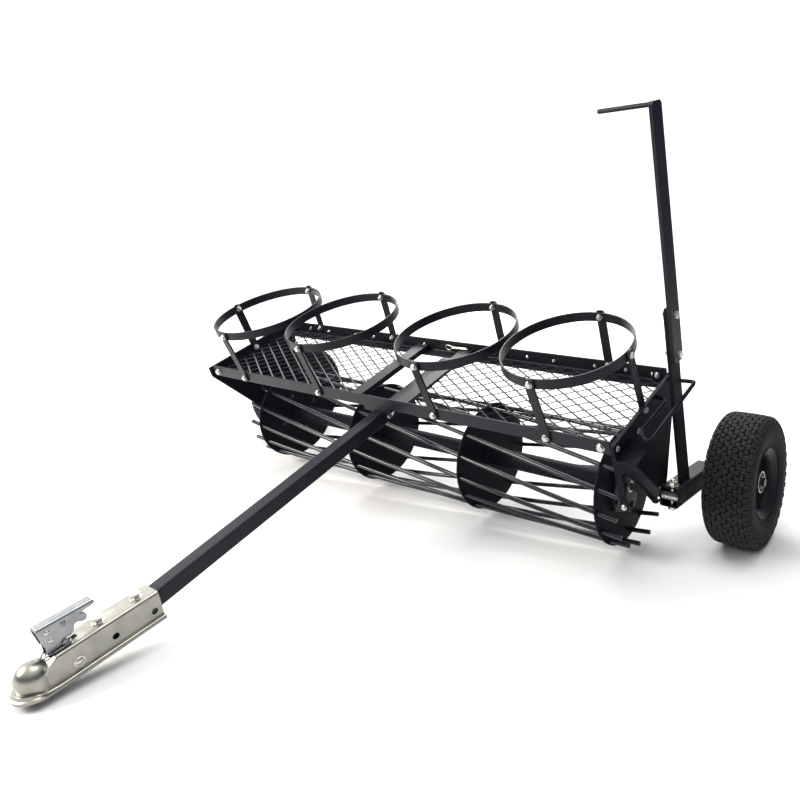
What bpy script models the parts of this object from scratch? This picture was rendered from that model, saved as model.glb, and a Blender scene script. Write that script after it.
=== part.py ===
"""Tow-behind cultipacker: a rod cage roller under a mesh deck with four bucket rings, a square drawbar with a ball
coupler, and two transport wheels on arms that one lever swings.

The machine is laid out in its own frame, in millimetres: X across the machine towards the lever, Y to the rear, Z up
from the deck's bolt line. It then stands on the ground as it is parked: on both tyres and the nose of the coupler, so
the deck is pitched nose down by PITCH. The origin lies on the ground, at the middle of the whole machine's footprint.
"""

import math

import bmesh
import bpy
from mathutils import Matrix, Vector

# ---------------------------------------------------------------- driving dimensions (mm, degrees)
PITCH = 18.5  # deck pitched nose down as parked
GROUND = 400.1  # height of the deck's own origin above the ground
REARWARD = 277.3  # and how far it lies behind the middle of the footprint

AXIS_Y, AXIS_Z = 16.0, -249.0  # the roller shaft, which the wheel arms are pinned to

RING_R, RING_T, RING_H = 166.0, 4.5, 25.4  # bucket ring: outside radius, strip thickness and height
RING_X = (-569.5, -221.7, 221.7, 569.5)
RING_Z = 152.0  # middle of the strip above the deck's bolt line
LEG_W, LEG_T = 25.0, 5.0

RAIL_X = 738.0  # half length of the cross rails
RAIL_T = 3.5
FRONT_Y = -152.0  # outside face of the front rail
FRONT_Z0, FRONT_Z1 = -16.0, 20.0
REAR_Y = 163.0  # outside face of the rear rail
REAR_Z0, REAR_Z1 = -17.0, 24.0
FLANGE = 35.0
PLATE_X, PLATE_T = 742.0, 4.0  # inner face and thickness of the end plates

TUBE = 38.0  # drawbar tube
TONGUE_Z = -32.0  # its top
TONGUE_Y0, TONGUE_Y1 = -925.0, 150.0

DISC_R, DISC_T = 150.0, 5.0
DISC_X = (-643.0, -214.5, 214.5, 643.0)
ROD_R, ROD_CIRCLE, ROD_COUNT = 6.0, 139.5, 15
ROD_X = 697.0
ROD_TWIST = 1.14 / 1.11 / 1000.0  # radians for each millimetre along the roller
ROD_PHASE = 13.0
SHAFT_R = 10.0
CORE_R, CORE_IN = 25.0, 21.5

ARM = 50.0  # wheel arm tube
ARM_X = 751.0  # its inner face
ARM_PITCH = 21.0  # falls to the rear
ARM_FRONT, ARM_REAR = -14.0, 222.0  # ends, from the shaft along the arm
WHEEL_X, WHEEL_Y, WHEEL_Z = 899.0, 200.0, -310.0
TYRE_R, TYRE_W = 170.0, 124.0

LEVER_X, LEVER_T, LEVER_W = 783.0, 10.0, 48.0  # inner face, thickness and width of the lever's lower bar
LEVER_LEAN = 0.1175  # its lean to the rear
COUPLER_Y, COUPLER_Z, COUPLER_TILT = -811.0, -28.5, 7.9

GAP = 0.3

# ---------------------------------------------------------------- scene, collections, materials
for old in list(bpy.data.objects):
    bpy.data.objects.remove(old, do_unlink=True)

MACHINE = bpy.data.collections.new("cultipacker")
HELPERS = bpy.data.collections.new("cutters")
HELPERS.hide_render = True
bpy.context.scene.collection.children.link(MACHINE)
bpy.context.scene.collection.children.link(HELPERS)

DECK = Matrix.Translation((0, REARWARD / 1000.0, GROUND / 1000.0)) @ Matrix.Rotation(math.radians(PITCH), 4, "X")


def material(name, color, metallic, roughness):
    mat = bpy.data.materials.new(name)
    mat.use_nodes = True
    shader = mat.node_tree.nodes["Principled BSDF"]
    shader.inputs["Base Color"].default_value = (*color, 1.0)
    shader.inputs["Metallic"].default_value = metallic
    shader.inputs["Roughness"].default_value = roughness
    mat.diffuse_color = (*color, 1.0)
    return mat


BLACK = (0.022, 0.023, 0.027)
ZINC = (0.62, 0.61, 0.56)
RUBBER = (0.035, 0.035, 0.033)


def finish(obj, name, color, metallic, roughness, smooth=False):
    obj.name = name
    obj.data.name = name
    obj.data.materials.clear()
    obj.data.materials.append(material(name + "_finish", color, metallic, roughness))
    for poly in obj.data.polygons:
        poly.use_smooth = smooth
        poly.material_index = 0
    if smooth:
        obj.data.set_sharp_from_angle(angle=math.radians(35))
    return obj


def black(obj, name, smooth=False):
    return finish(obj, name, BLACK, 0.0, 0.42, smooth)


def zinc(obj, name, smooth=False):
    return finish(obj, name, ZINC, 1.0, 0.36, smooth)


# ---------------------------------------------------------------- shaping helpers
def mm(v):
    return Vector(v) / 1000.0


def add(mesh, where=MACHINE):
    obj = bpy.data.objects.new(mesh.name, mesh)
    where.objects.link(obj)
    return obj


def from_bmesh(bm, name="piece", where=MACHINE):
    bmesh.ops.recalc_face_normals(bm, faces=bm.faces)
    mesh = bpy.data.meshes.new(name)
    bm.to_mesh(mesh)
    bm.free()
    return add(mesh, where)


def evaluated(obj):
    """The object's evaluated mesh as a new mesh, welded, in the space of the machine; the source is removed."""
    bpy.context.view_layer.update()
    graph = bpy.context.evaluated_depsgraph_get()
    mesh = bpy.data.meshes.new_from_object(obj.evaluated_get(graph), depsgraph=graph)
    mesh.transform(obj.matrix_world)
    bpy.data.objects.remove(obj, do_unlink=True)
    bm = bmesh.new()
    bm.from_mesh(mesh)
    bmesh.ops.remove_doubles(bm, verts=bm.verts, dist=2e-6)
    bmesh.ops.recalc_face_normals(bm, faces=bm.faces)
    bm.to_mesh(mesh)
    bm.free()
    return mesh


def box(lo, hi, turn=None, pivot=(0, 0, 0), where=MACHINE):
    """A block from corner lo to corner hi, turned about pivot."""
    bm = bmesh.new()
    bmesh.ops.create_cube(bm, size=1.0)
    lo, hi = Vector(lo), Vector(hi)
    bmesh.ops.scale(bm, vec=(hi - lo) / 1000.0, verts=bm.verts)
    bmesh.ops.translate(bm, vec=(hi + lo) / 2000.0, verts=bm.verts)
    if turn is not None:
        bmesh.ops.rotate(bm, cent=mm(pivot), matrix=turn, verts=bm.verts)
    return from_bmesh(bm, where=where)


def plate(outline, thickness, to_world, holes=(), where=MACHINE):
    """A flat plate: outline and holes in its own x, y; thickness along its own z from 0; to_world places it."""
    curve = bpy.data.curves.new("outline", "CURVE")
    curve.dimensions = "2D"
    curve.fill_mode = "BOTH"
    curve.extrude = thickness / 2000.0
    for points in [outline, *holes]:
        spline = curve.splines.new("POLY")
        spline.points.add(len(points) - 1)
        for point, (x, y) in zip(spline.points, points, strict=True):
            point.co = (x / 1000.0, y / 1000.0, 0.0, 1.0)
        spline.use_cyclic_u = True
    obj = bpy.data.objects.new("outline", curve)
    where.objects.link(obj)
    obj.matrix_world = to_world @ Matrix.Translation((0, 0, thickness / 2000.0))
    return add(evaluated(obj), where)


def frame_at(origin, x_axis, y_axis):
    x, y = Vector(x_axis).normalized(), Vector(y_axis).normalized()
    z = x.cross(y)
    m = Matrix((x, y, z)).transposed().to_4x4()
    m.translation = mm(origin)
    return m


def circle(cx, cy, r, n, start=0.0):
    return [
        (cx + r * math.cos(start + 2 * math.pi * k / n), cy + r * math.sin(start + 2 * math.pi * k / n))
        for k in range(n)
    ]


def stadium(w, length, n=8):
    """A bar end to end along y from 0 to length, with both ends rounded slightly."""
    r = w / 2
    top = [(r * math.cos(math.pi * k / n), length - r * 0.55 + r * 0.55 * math.sin(math.pi * k / n)) for k in range(n + 1)]
    low = [(-r * math.cos(math.pi * k / n), r * 0.55 - r * 0.55 * math.sin(math.pi * k / n)) for k in range(n + 1)]
    return top + low


def turned(profile, steps, to_world, where=MACHINE, smooth_axis=True):
    """A round piece: profile of (radius, height) from top to bottom, turned about its own z; to_world places it."""
    mesh = bpy.data.meshes.new("profile")
    mesh.from_pydata([(r / 1000.0, 0.0, h / 1000.0) for r, h in profile], [(k, k + 1) for k in range(len(profile) - 1)], [])
    obj = bpy.data.objects.new("profile", mesh)
    where.objects.link(obj)
    spin = obj.modifiers.new("Turn", "SCREW")
    spin.axis = "Z"
    spin.angle = 2 * math.pi
    spin.steps = steps
    spin.render_steps = steps
    spin.use_merge_vertices = True
    spin.merge_threshold = 0.00001
    spin.use_smooth_shade = False
    obj.matrix_world = to_world
    return add(evaluated(obj), where)


def ring_profile(r_in, r_out, h0, h1):
    return [(r_in, h1), (r_out, h1), (r_out, h0), (r_in, h0), (r_in, h1)]


def along_x(x, y=0.0, z=0.0):
    """Places a turned piece with its axis along X, its height zero at x."""
    return Matrix.Translation(mm((x, y, z))) @ Matrix.Rotation(math.pi / 2, 4, "Y")


def toward(origin, direction):
    """Places a turned piece with its own z along direction."""
    return Matrix.Translation(mm(origin)) @ Vector(direction).to_track_quat("Z", "Y").to_matrix().to_4x4()


def rod(points, radius, sides=8, cyclic=False, where=MACHINE):
    curve = bpy.data.curves.new("path", "CURVE")
    curve.dimensions = "3D"
    curve.bevel_depth = radius / 1000.0
    curve.bevel_resolution = max(0, sides // 2 - 2)
    curve.use_fill_caps = not cyclic
    curve.twist_mode = "Z_UP" if cyclic else "MINIMUM"
    spline = curve.splines.new("POLY")
    spline.points.add(len(points) - 1)
    for point, co in zip(spline.points, points, strict=True):
        point.co = (*mm(co), 1.0)
    spline.use_cyclic_u = cyclic
    obj = bpy.data.objects.new("path", curve)
    where.objects.link(obj)
    return add(evaluated(obj), where)


def boolean(obj, others, operation):
    for other in others:
        mod = obj.modifiers.new(operation.title(), "BOOLEAN")
        mod.operation = operation
        mod.solver = "EXACT"
        mod.object = other
    mesh = evaluated(obj)
    for other in others:
        bpy.data.objects.remove(other, do_unlink=True)
    return add(mesh)


def gathered(objs, where=MACHINE):
    """Shapes that don't touch each other as one mesh, to be cut from a piece, or joined to it, in one step."""
    bm = bmesh.new()
    for obj in objs:
        bm.from_mesh(obj.data)
        bpy.data.objects.remove(obj, do_unlink=True)
    return from_bmesh(bm, "shapes", where)


def drilled(obj, holes):
    """holes: (centre, direction, radius, length)."""
    cutters = [
        turned([(0, length / 2), (radius, length / 2), (radius, -length / 2), (0, -length / 2)], 8 if radius < 7 else 12, toward(centre, direction), HELPERS)
        for centre, direction, radius, length in holes
    ]
    return boolean(obj, [gathered(cutters, HELPERS)], "DIFFERENCE")


def bolt(face_at, direction, grip, head=8.6, head_h=6.0, shank=3.6, nut=8.2, nut_h=6.5, tail=3.0, sink=1.0, steps=6):
    """Hex bolt with its head on face_at, sunk by sink into the piece that it belongs to; grip is the stack under the head."""
    profile = [
        (0, head_h), (head, head_h), (head, -sink), (shank, -sink), (shank, -grip), (nut, -grip),
        (nut, -grip - nut_h), (shank, -grip - nut_h), (shank, -grip - nut_h - tail), (0, -grip - nut_h - tail),
    ]
    return turned(profile, steps, toward(face_at, direction))


def place(obj, pivot=(0.0, 0.0, 0.0)):
    """Stands a finished piece on the ground with the machine, its origin at pivot."""
    p = mm(pivot)
    obj.data.transform(Matrix.Translation(-p))
    obj.matrix_world = DECK @ Matrix.Translation(p)
    return obj


SHAFT = (0.0, AXIS_Y, AXIS_Z)

# ---------------------------------------------------------------- deck frame
X_AXIS, Y_AXIS, Z_AXIS = (1, 0, 0), (0, 1, 0), (0, 0, 1)
CORNER_X = 714.0
REAR_BOLT_Z = 11.0
SIDE_BOLT_Y, SIDE_BOLT_Z = 12.0, -1.0


def angle_rail(y_face, inward, z0, z1):
    """Angle iron along X: an upright web at y_face and a foot at the bottom, which points inward."""
    foot = y_face + inward * FLANGE
    web = y_face + inward * RAIL_T
    pts = [(y_face, z0), (y_face, z1), (web, z1), (web, z0 + RAIL_T), (foot, z0 + RAIL_T), (foot, z0)]
    return plate(pts, 2 * RAIL_X, frame_at((-RAIL_X, 0, 0), Y_AXIS, Z_AXIS))


front_holes = [((x, FRONT_Y, 0), Y_AXIS, 4.5, 30) for x in (*RING_X, -CORNER_X, CORNER_X)]
rear_holes = [((x, REAR_Y, REAR_BOLT_Z), Y_AXIS, 4.5, 30) for x in RING_X] + [((s * CORNER_X, REAR_Y, 4.0), Y_AXIS, 4.5, 30) for s in (-1, 1)]
place(black(drilled(angle_rail(FRONT_Y, 1, FRONT_Z0, FRONT_Z1), front_holes), "front_rail"))
place(black(drilled(angle_rail(REAR_Y, -1, REAR_Z0, REAR_Z1), rear_holes), "rear_rail"))

# End plates: they carry the roller shaft. A tab at either end is bolted behind each rail, a lip is folded out along the
# top and the sloping front, and the corner bolts belong to them.
PLATE_OUTLINE = [
    (-160.0, 14.0), (-160.0, -18.0), (-30.0, -234.0), (-21.0, -252.0), (-6.0, -265.0), (16.0, -270.0), (38.0, -265.0),
    (54.0, -252.0), (66.0, -234.0), (168.0, -50.0), (168.0, 14.0),
]
TAB_F = FRONT_Y + RAIL_T + GAP
TAB_R = REAR_Y - RAIL_T - GAP


def end_plate(side):
    x = side * PLATE_X
    lo, hi = min(x, x + side * PLATE_T), max(x, x + side * PLATE_T)
    web = plate(
        PLATE_OUTLINE, PLATE_T, frame_at((lo, 0, 0), Y_AXIS, Z_AXIS),
        holes=[circle(AXIS_Y, AXIS_Z, 16.0, 16), circle(SIDE_BOLT_Y, SIDE_BOLT_Z, 4.5, 8)],
    )
    x_in, x_lip = side * (PLATE_X + 1.0), side * (PLATE_X + 10.0)
    a, b = min(x_in, x_lip), max(x_in, x_lip)
    lip = plate(
        [(166.0, 14.0), (-160.0, 14.0), (-160.0, -18.0), (-52.0, -197.4), (-49.4, -195.9), (-157.0, -17.2), (-157.0, 11.0), (166.0, 11.0)],
        b - a, frame_at((a, 0, 0), Y_AXIS, Z_AXIS),
    )
    x_tab = side * (PLATE_X - 42.0)
    c, d = min(x_tab, x_in), max(x_tab, x_in)
    tab_f = box((c, TAB_F, -11.0), (d, TAB_F + 4.0, 13.0))
    tab_r = box((c, TAB_R - 4.0, -11.0), (d, TAB_R, 13.0))
    body = boolean(web, [lip, tab_f, tab_r], "UNION")
    front = bolt((side * CORNER_X, FRONT_Y - GAP, 0.0), (0, -1, 0), RAIL_T + GAP + 3.0, head=10.0, head_h=7.0, sink=0.0)
    rear = bolt((side * CORNER_X, REAR_Y + GAP, 4.0), (0, 1, 0), RAIL_T + GAP + 3.0, head=9.0, sink=0.0)
    return boolean(body, [gathered([front, rear])], "UNION")


place(black(end_plate(-1), "end_plate_left"))
place(black(end_plate(1), "end_plate_right"))

# Two angle irons from the front rail to the rear rail, on top of their feet, edge the mesh beside the drawbar.
FOOT_TOP = FRONT_Z0 + RAIL_T + GAP
Y0, Y1 = FRONT_Y + RAIL_T + GAP, REAR_Y - RAIL_T - GAP


def beam(side):
    x0, x1 = side * 68.0, side * 110.0
    flat = box((min(x0, x1), Y0, 1.0), (max(x0, x1), Y1, 4.0))
    web = box((min(x0, x0 + side * 3.0), Y0, FOOT_TOP), (max(x0, x0 + side * 3.0), Y1, 2.0))
    return boolean(flat, [web], "UNION")


place(black(beam(-1), "mesh_beam_left"))
place(black(beam(1), "mesh_beam_right"))

# Expanded-metal deck panels: diamond openings in one sheet.
MESH_LONG, MESH_SHORT, STRAND = 58.0, 34.0, 4.0


def mesh_panel(side):
    x0, x1 = sorted((side * 73.0, side * (PLATE_X - 16.0)))
    y0, y1 = Y0 + 14.0, Y1 - 14.0
    edge = 5.0
    holes = []
    rows = int((y1 - y0 - 2 * edge) / (MESH_SHORT / 2))
    start_y = (y0 + y1) / 2 - (rows - 2) * MESH_SHORT / 4
    lean = math.atan2(MESH_SHORT, MESH_LONG)
    a, b = MESH_LONG / 2 - STRAND / 2 / math.sin(lean), MESH_SHORT / 2 - STRAND / 2 / math.cos(lean)
    for row in range(rows - 1):
        y = start_y + row * MESH_SHORT / 2
        count = int((x1 - x0 - 2 * edge) / MESH_LONG) - row % 2
        for k in range(count):
            x = (x0 + x1) / 2 + (k - (count - 1) / 2) * MESH_LONG
            holes.append([(x - a, y), (x, y - b), (x + a, y), (x, y + b)])
    return plate([(x0, y0), (x1, y0), (x1, y1), (x0, y1)], 2.5, frame_at((0, 0, FOOT_TOP), X_AXIS, Y_AXIS), holes=holes)


place(black(mesh_panel(-1), "mesh_panel_left"))
place(black(mesh_panel(1), "mesh_panel_right"))

# ---------------------------------------------------------------- bucket rings and their legs, which hold their own bolts
LEG_OUT = RING_R + 0.5 + LEG_T  # outside of a leg's top, from the ring's centre


def rounded_bar(length):
    """End view of a leg: a flat bar's face with both ends rounded, along its own y from 0."""
    r, n = LEG_W / 2, 4
    top = [(r * math.cos(math.pi * k / n), length - r * 0.6 + r * 0.6 * math.sin(math.pi * k / n)) for k in range(n + 1)]
    low = [(-r * math.cos(math.pi * k / n), r * 0.6 - r * 0.6 * math.sin(math.pi * k / n)) for k in range(n + 1)]
    return top + low


def leg(x, section, z0, z1, bolts, name, turn=None):
    """A bent flat bar: section is its side view in Y and Z, its ends rounded, joined with its two bolts."""
    solid = plate(section, LEG_W, frame_at((x - LEG_W / 2, 0, 0), Y_AXIS, Z_AXIS))
    shape = plate(rounded_bar(z1 - z0), 700.0, frame_at((x, 350.0, z0), X_AXIS, Z_AXIS), where=HELPERS)
    solid = boolean(solid, [shape], "INTERSECT")
    solid = boolean(solid, [gathered([bolt(*b) for b in bolts])], "UNION")
    if turn is not None:
        solid.data.transform(turn)
    place(black(solid, name))


def offset_bar(low_y, high_y, t, z0, bend0, bend1, z1):
    """Side view of a bar whose outer face is at low_y below bend0 and at high_y above bend1; t points to its inner face."""
    return [(low_y, z0), (low_y, bend0), (high_y, bend1), (high_y, z1), (high_y + t, z1), (high_y + t, bend1), (low_y + t, bend0), (low_y + t, z0)]


for index, rx in enumerate(RING_X):
    n = index + 1
    # A flat of the 40-sided ring faces each leg.
    step = 2 * math.pi / 40
    side = {0: -1, 3: 1}.get(index)
    ring_holes = [((rx, -RING_R, RING_Z), Y_AXIS, 4.6, 24), ((rx, RING_R, RING_Z), Y_AXIS, 4.6, 24)]
    if side:
        ring_holes.append(((rx + side * RING_R, 0, RING_Z), X_AXIS, 4.6, 24))
    flat_r = RING_R / math.cos(step / 2)
    profile = ring_profile(flat_r - RING_T, flat_r, RING_Z - RING_H / 2, RING_Z + RING_H / 2)
    ring = turned(profile, 40, Matrix.Translation(mm((rx, 0, 0))) @ Matrix.Rotation(step / 2, 4, "Z"))
    place(black(drilled(ring, ring_holes), f"bucket_ring_{n}", smooth=True))
    front_low = FRONT_Y - GAP - LEG_T
    rear_low = REAR_Y + GAP + LEG_T
    leg(
        rx, offset_bar(front_low, -LEG_OUT, LEG_T, -14.0, 22.0, 136.0, 166.0), -14.0, 166.0,
        [((rx, front_low, 0.0), (0, -1, 0), LEG_T + GAP + RAIL_T + GAP), ((rx, -LEG_OUT, RING_Z), (0, -1, 0), LEG_T + 0.5 + RING_T + 0.8)],
        f"front_leg_{n}",
    )
    leg(
        rx, offset_bar(rear_low, LEG_OUT, -LEG_T, -4.0, 28.0, 136.0, 169.0), -4.0, 169.0,
        [((rx, rear_low, REAR_BOLT_Z), (0, 1, 0), LEG_T + GAP + RAIL_T + GAP), ((rx, LEG_OUT, RING_Z), (0, 1, 0), LEG_T + 0.5 + RING_T + 0.8)],
        f"rear_leg_{n}",
    )

# The side legs run from the end rings down inside the end plates; they are shaped as front legs, then turned about Z.
for side, rx in ((-1, RING_X[0]), (1, RING_X[3])):
    low = -(PLATE_X - GAP - abs(rx))
    lean = math.atan2(SIDE_BOLT_Y, RING_Z - SIDE_BOLT_Z)
    turn = (
        Matrix.Translation(mm((rx, 0, RING_Z))) @ Matrix.Rotation(lean, 4, "X") @ Matrix.Translation(mm((0, 0, -RING_Z)))
        @ Matrix.Rotation(side * math.pi / 2, 4, "Z")
    )
    outer = low  # outside of the foot, against the end plate
    solid = plate(offset_bar(low, -LEG_OUT, LEG_T, -14.0, 30.0, 136.0, 166.0), LEG_W, frame_at((-LEG_W / 2, 0, 0), Y_AXIS, Z_AXIS))
    shape = plate(rounded_bar(180.0), 700.0, frame_at((0, 350.0, -14.0), X_AXIS, Z_AXIS), where=HELPERS)
    solid = boolean(solid, [shape], "INTERSECT")
    solid.data.transform(turn)
    label = "left" if side < 0 else "right"
    foot = (side * (PLATE_X + PLATE_T + GAP), SIDE_BOLT_Y, SIDE_BOLT_Z)
    bolts = gathered([
        bolt(foot, (side, 0, 0), PLATE_T + 2 * GAP + LEG_T - 1.0, sink=0.0),
        bolt((rx + side * LEG_OUT, 0, RING_Z), (side, 0, 0), LEG_T + 0.5 + RING_T + 0.8),
    ])
    place(black(boolean(solid, [bolts], "UNION"), f"side_leg_{label}"))

# ---------------------------------------------------------------- drawbar, from inside the coupler back under the deck
outer = [(-TUBE / 2, 0), (TUBE / 2, 0), (TUBE / 2, -TUBE), (-TUBE / 2, -TUBE)]
inner = [(-TUBE / 2 + 3, -3), (TUBE / 2 - 3, -3), (TUBE / 2 - 3, -TUBE + 3), (-TUBE / 2 + 3, -TUBE + 3)]
tube = plate(outer, TONGUE_Y1 - TONGUE_Y0, frame_at((0, TONGUE_Y1, TONGUE_Z), X_AXIS, Z_AXIS), holes=[inner])
tilt = Matrix.Rotation(-math.radians(COUPLER_TILT), 4, "X")
COUPLER = Matrix.Translation(mm((0, COUPLER_Y, COUPLER_Z))) @ tilt  # own -Y forward, z = 0 on its top
COUPLER_BOLT_Y = (-28.0, -98.0)
for y in COUPLER_BOLT_Y:
    p = COUPLER @ mm((0, y, 0)) * 1000.0
    tube = drilled(tube, [((p.x, p.y, p.z), COUPLER.to_3x3() @ Vector(Z_AXIS), 6.2, 130.0)])
place(black(tube, "drawbar_tube"))

# The saddle that hangs the drawbar under the front rail: a plate above the tube with an ear down either side.
e0, e1 = TUBE / 2 + GAP, TUBE / 2 + GAP + 4.0
saddle = boolean(
    box((-50.0, -150.0, TONGUE_Z + GAP), (50.0, -114.0, FRONT_Z0 - GAP)),
    [
        gathered([box((e0, -150.0, TONGUE_Z - 30.0), (e1, -114.0, TONGUE_Z + 3.0)), box((-e1, -150.0, TONGUE_Z - 30.0), (-e0, -114.0, TONGUE_Z + 3.0))]),
        gathered([turned([(0, 6.0), (6.5, 6.0), (8.0, 4.5), (8.0, -1.0), (0, -1.0)], 6, toward((x, -132.0, TONGUE_Z + GAP - 0.0), (0, 0, -1))) for x in (-38.0, 38.0)]),
    ],
    "UNION",
)
place(black(saddle, "drawbar_saddle"))

# ---------------------------------------------------------------- ball coupler, pitched up a little from the drawbar


def on_coupler(obj):
    obj.data.transform(COUPLER)
    return obj


H = 64.0  # height of the channel
BALL_Y = -226.0
side_view = [(0, 0), (0, -H + 2.0), (BALL_Y + 12.0, -H + 2.0), (BALL_Y + 12.0, -30.0), (BALL_Y + 50.0, 0)]
channel = plate(side_view, 54.0, frame_at((-27.0, 0, 0), Y_AXIS, Z_AXIS))
dome_r = 30.0
dome = turned(
    [(0, 3.0), *[(dome_r * math.sin(math.radians(a)), -27.0 + dome_r * math.cos(math.radians(a))) for a in (20, 40, 60, 80, 90)], (dome_r, -H + 3.0), (0, -H + 3.0)],
    20, Matrix.Translation(mm((0, BALL_Y, 0))),
)
lip = turned([(0, -H + 7.0), (dome_r + 1.0, -H + 7.0), (dome_r + 3.5, -H + 4.0), (dome_r + 3.5, -H), (0, -H)], 20, Matrix.Translation(mm((0, BALL_Y, 0))))
lip_sides = box((-31.0, BALL_Y + 6.0, -H + 0.4), (31.0, -0.5, -H + 10.0))
solid = boolean(boolean(boolean(channel, [lip_sides], "UNION"), [lip], "UNION"), [dome], "UNION")
hollow = plate(
    [(5.0, -3.0), (5.0, -H - 5.0), (BALL_Y + 15.0, -H - 5.0), (BALL_Y + 15.0, -33.0), (BALL_Y + 51.5, -3.0)], 48.0,
    frame_at((-24.0, 0, 0), Y_AXIS, Z_AXIS), where=HELPERS,
)
cup_r = dome_r - 4.0
cup = turned(
    [(0, -1.0), *[(cup_r * math.sin(math.radians(a)), -27.0 + cup_r * math.cos(math.radians(a))) for a in (30, 60, 90)], (cup_r, -H - 5), (0, -H - 5)],
    16, Matrix.Translation(mm((0, BALL_Y, 0))), HELPERS,
)
solid = boolean(solid, [hollow, cup], "DIFFERENCE")
solid = boolean(solid, [box((-6.5, -172.0, -8.0), (6.5, -142.0, 3.0), where=HELPERS)], "DIFFERENCE")
CLAMP_PIN = (0.0, -160.0, -37.0)
ears = gathered([box((7.2, -197.0, -12.0), (10.0, -175.0, 33.0)), box((-10.0, -197.0, -12.0), (-7.2, -175.0, 33.0))])
solid = drilled(solid, [
    *[((0, y, -1), Z_AXIS, 6.0, 12) for y in COUPLER_BOLT_Y],
    ((0, -35.0, -29.0), X_AXIS, 5.0, 80), ((0, -105.0, -31.0), X_AXIS, 5.0, 80), (CLAMP_PIN, X_AXIS, 5.6, 80),
])
solid = boolean(solid, [ears], "UNION")
LATCH_PIVOT = (0.0, -186.0, 26.0)
solid = drilled(solid, [(LATCH_PIVOT, X_AXIS, 3.6, 60)])
place(zinc(on_coupler(solid), "coupler_body", smooth=True))
for y, label in zip(COUPLER_BOLT_Y, ("rear", "front"), strict=True):
    stud = turned([(0, 12.0), (5.0, 12.0), (8.0, 9.5), (9.5, 7.5), (9.5, GAP), (5.5, GAP), (5.5, -50.0), (0, -50.0)], 12, Matrix.Translation(mm((0, y, 0))))
    place(zinc(on_coupler(stud), f"coupler_bolt_{label}", smooth=True))
pin = turned([(0, 33.0), (6.0, 33.0), (8.5, 31.0), (8.5, 27.0 + GAP), (5.0, 27.0 + GAP), (5.0, -27.0 - GAP), (8.5, -27.0 - GAP), (8.5, -31.0), (0, -31.0)], 12, along_x(*CLAMP_PIN))
place(zinc(on_coupler(pin), "clamp_pin", smooth=True))

# Latch: a channel handle over two ears of the coupler, its trigger, and the clamp under the ball.
latch_side = [
    (-198.0, 18.0), (-204.0, 55.0), (-202.0, 59.0), (-198.5, 60.2), (-112.0, 56.0), (-105.5, 53.0), (-104.0, 49.5), (-106.0, 46.0),
    (-131.0, 44.5), (-147.0, 40.0), (-156.0, 33.0), (-160.0, 24.0), (-162.0, 16.2), (-187.0, 16.2),
]
latch = plate(latch_side[::-1], 26.0, frame_at((-13.0, 0, 0), Y_AXIS, Z_AXIS))
hollow = plate([(-212.0, -2.0), (-212.0, 46.0), (-203.0, 53.6), (-198.0, 57.0), (-112.0, 53.0), (-107.0, 49.0), (-107.0, -2.0)], 20.8, frame_at((-10.4, 0, 0), Y_AXIS, Z_AXIS), where=HELPERS)
latch = boolean(latch, [hollow], "DIFFERENCE")
latch = drilled(latch, [(LATCH_PIVOT, X_AXIS, 3.6, 60), ((0, -161.5, 44.5), X_AXIS, 3.6, 60)])
latch_at = tuple(COUPLER @ mm(LATCH_PIVOT) * 1000.0)
place(zinc(on_coupler(latch), "latch_handle"), latch_at)
pin = turned([(0, 15.0), (5.0, 15.0), (5.0, 13.3), (3.2, 13.3), (3.2, -13.3), (5.0, -13.3), (5.0, -15.0), (0, -15.0)], 10, along_x(*LATCH_PIVOT))
place(zinc(on_coupler(pin), "latch_pin", smooth=True))

# The trigger turns on its own rivet in the handle's walls.
TRIGGER_PIVOT = (0.0, -161.5, 44.5)
trigger = plate([
    (-164.0, 12.0), (-167.0, 26.0), (-168.5, 46.0), (-163.0, 51.0), (-156.0, 51.0), (-148.0, 47.0), (-135.0, 42.0), (-126.0, 40.0), (-121.0, 35.0), (-120.0, 28.0),
    (-124.5, 22.0), (-131.0, 23.0), (-138.0, 28.0), (-144.0, 26.0), (-147.0, 17.0), (-153.0, 11.0),
], 18.0, frame_at((-9.0, 0, 0), Y_AXIS, Z_AXIS))
rivet = turned([(0, 15.0), (5.0, 15.0), (5.0, 13.3), (3.2, 13.3), (3.2, -13.3), (5.0, -13.3), (5.0, -15.0), (0, -15.0)], 10, along_x(*TRIGGER_PIVOT))
trigger_at = tuple(COUPLER @ mm(TRIGGER_PIVOT) * 1000.0)
place(zinc(on_coupler(boolean(trigger, [rivet], "UNION")), "latch_trigger"), trigger_at)

clamp = plate([(-201.0, -50.0), (-201.0, -60.0), (-190.0, -60.0), (-174.0, -50.0), (-152.0, -48.0), (-148.0, -38.0), (-152.0, -28.0), (-166.0, -26.0), (-178.0, -34.0), (-192.0, -50.0)], 16.0, frame_at((-8.0, 0, 0), Y_AXIS, Z_AXIS))
clamp = drilled(clamp, [(CLAMP_PIN, X_AXIS, 6.2, 40)])
place(zinc(on_coupler(clamp), "ball_clamp"), tuple(COUPLER @ mm(CLAMP_PIN) * 1000.0))

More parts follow.
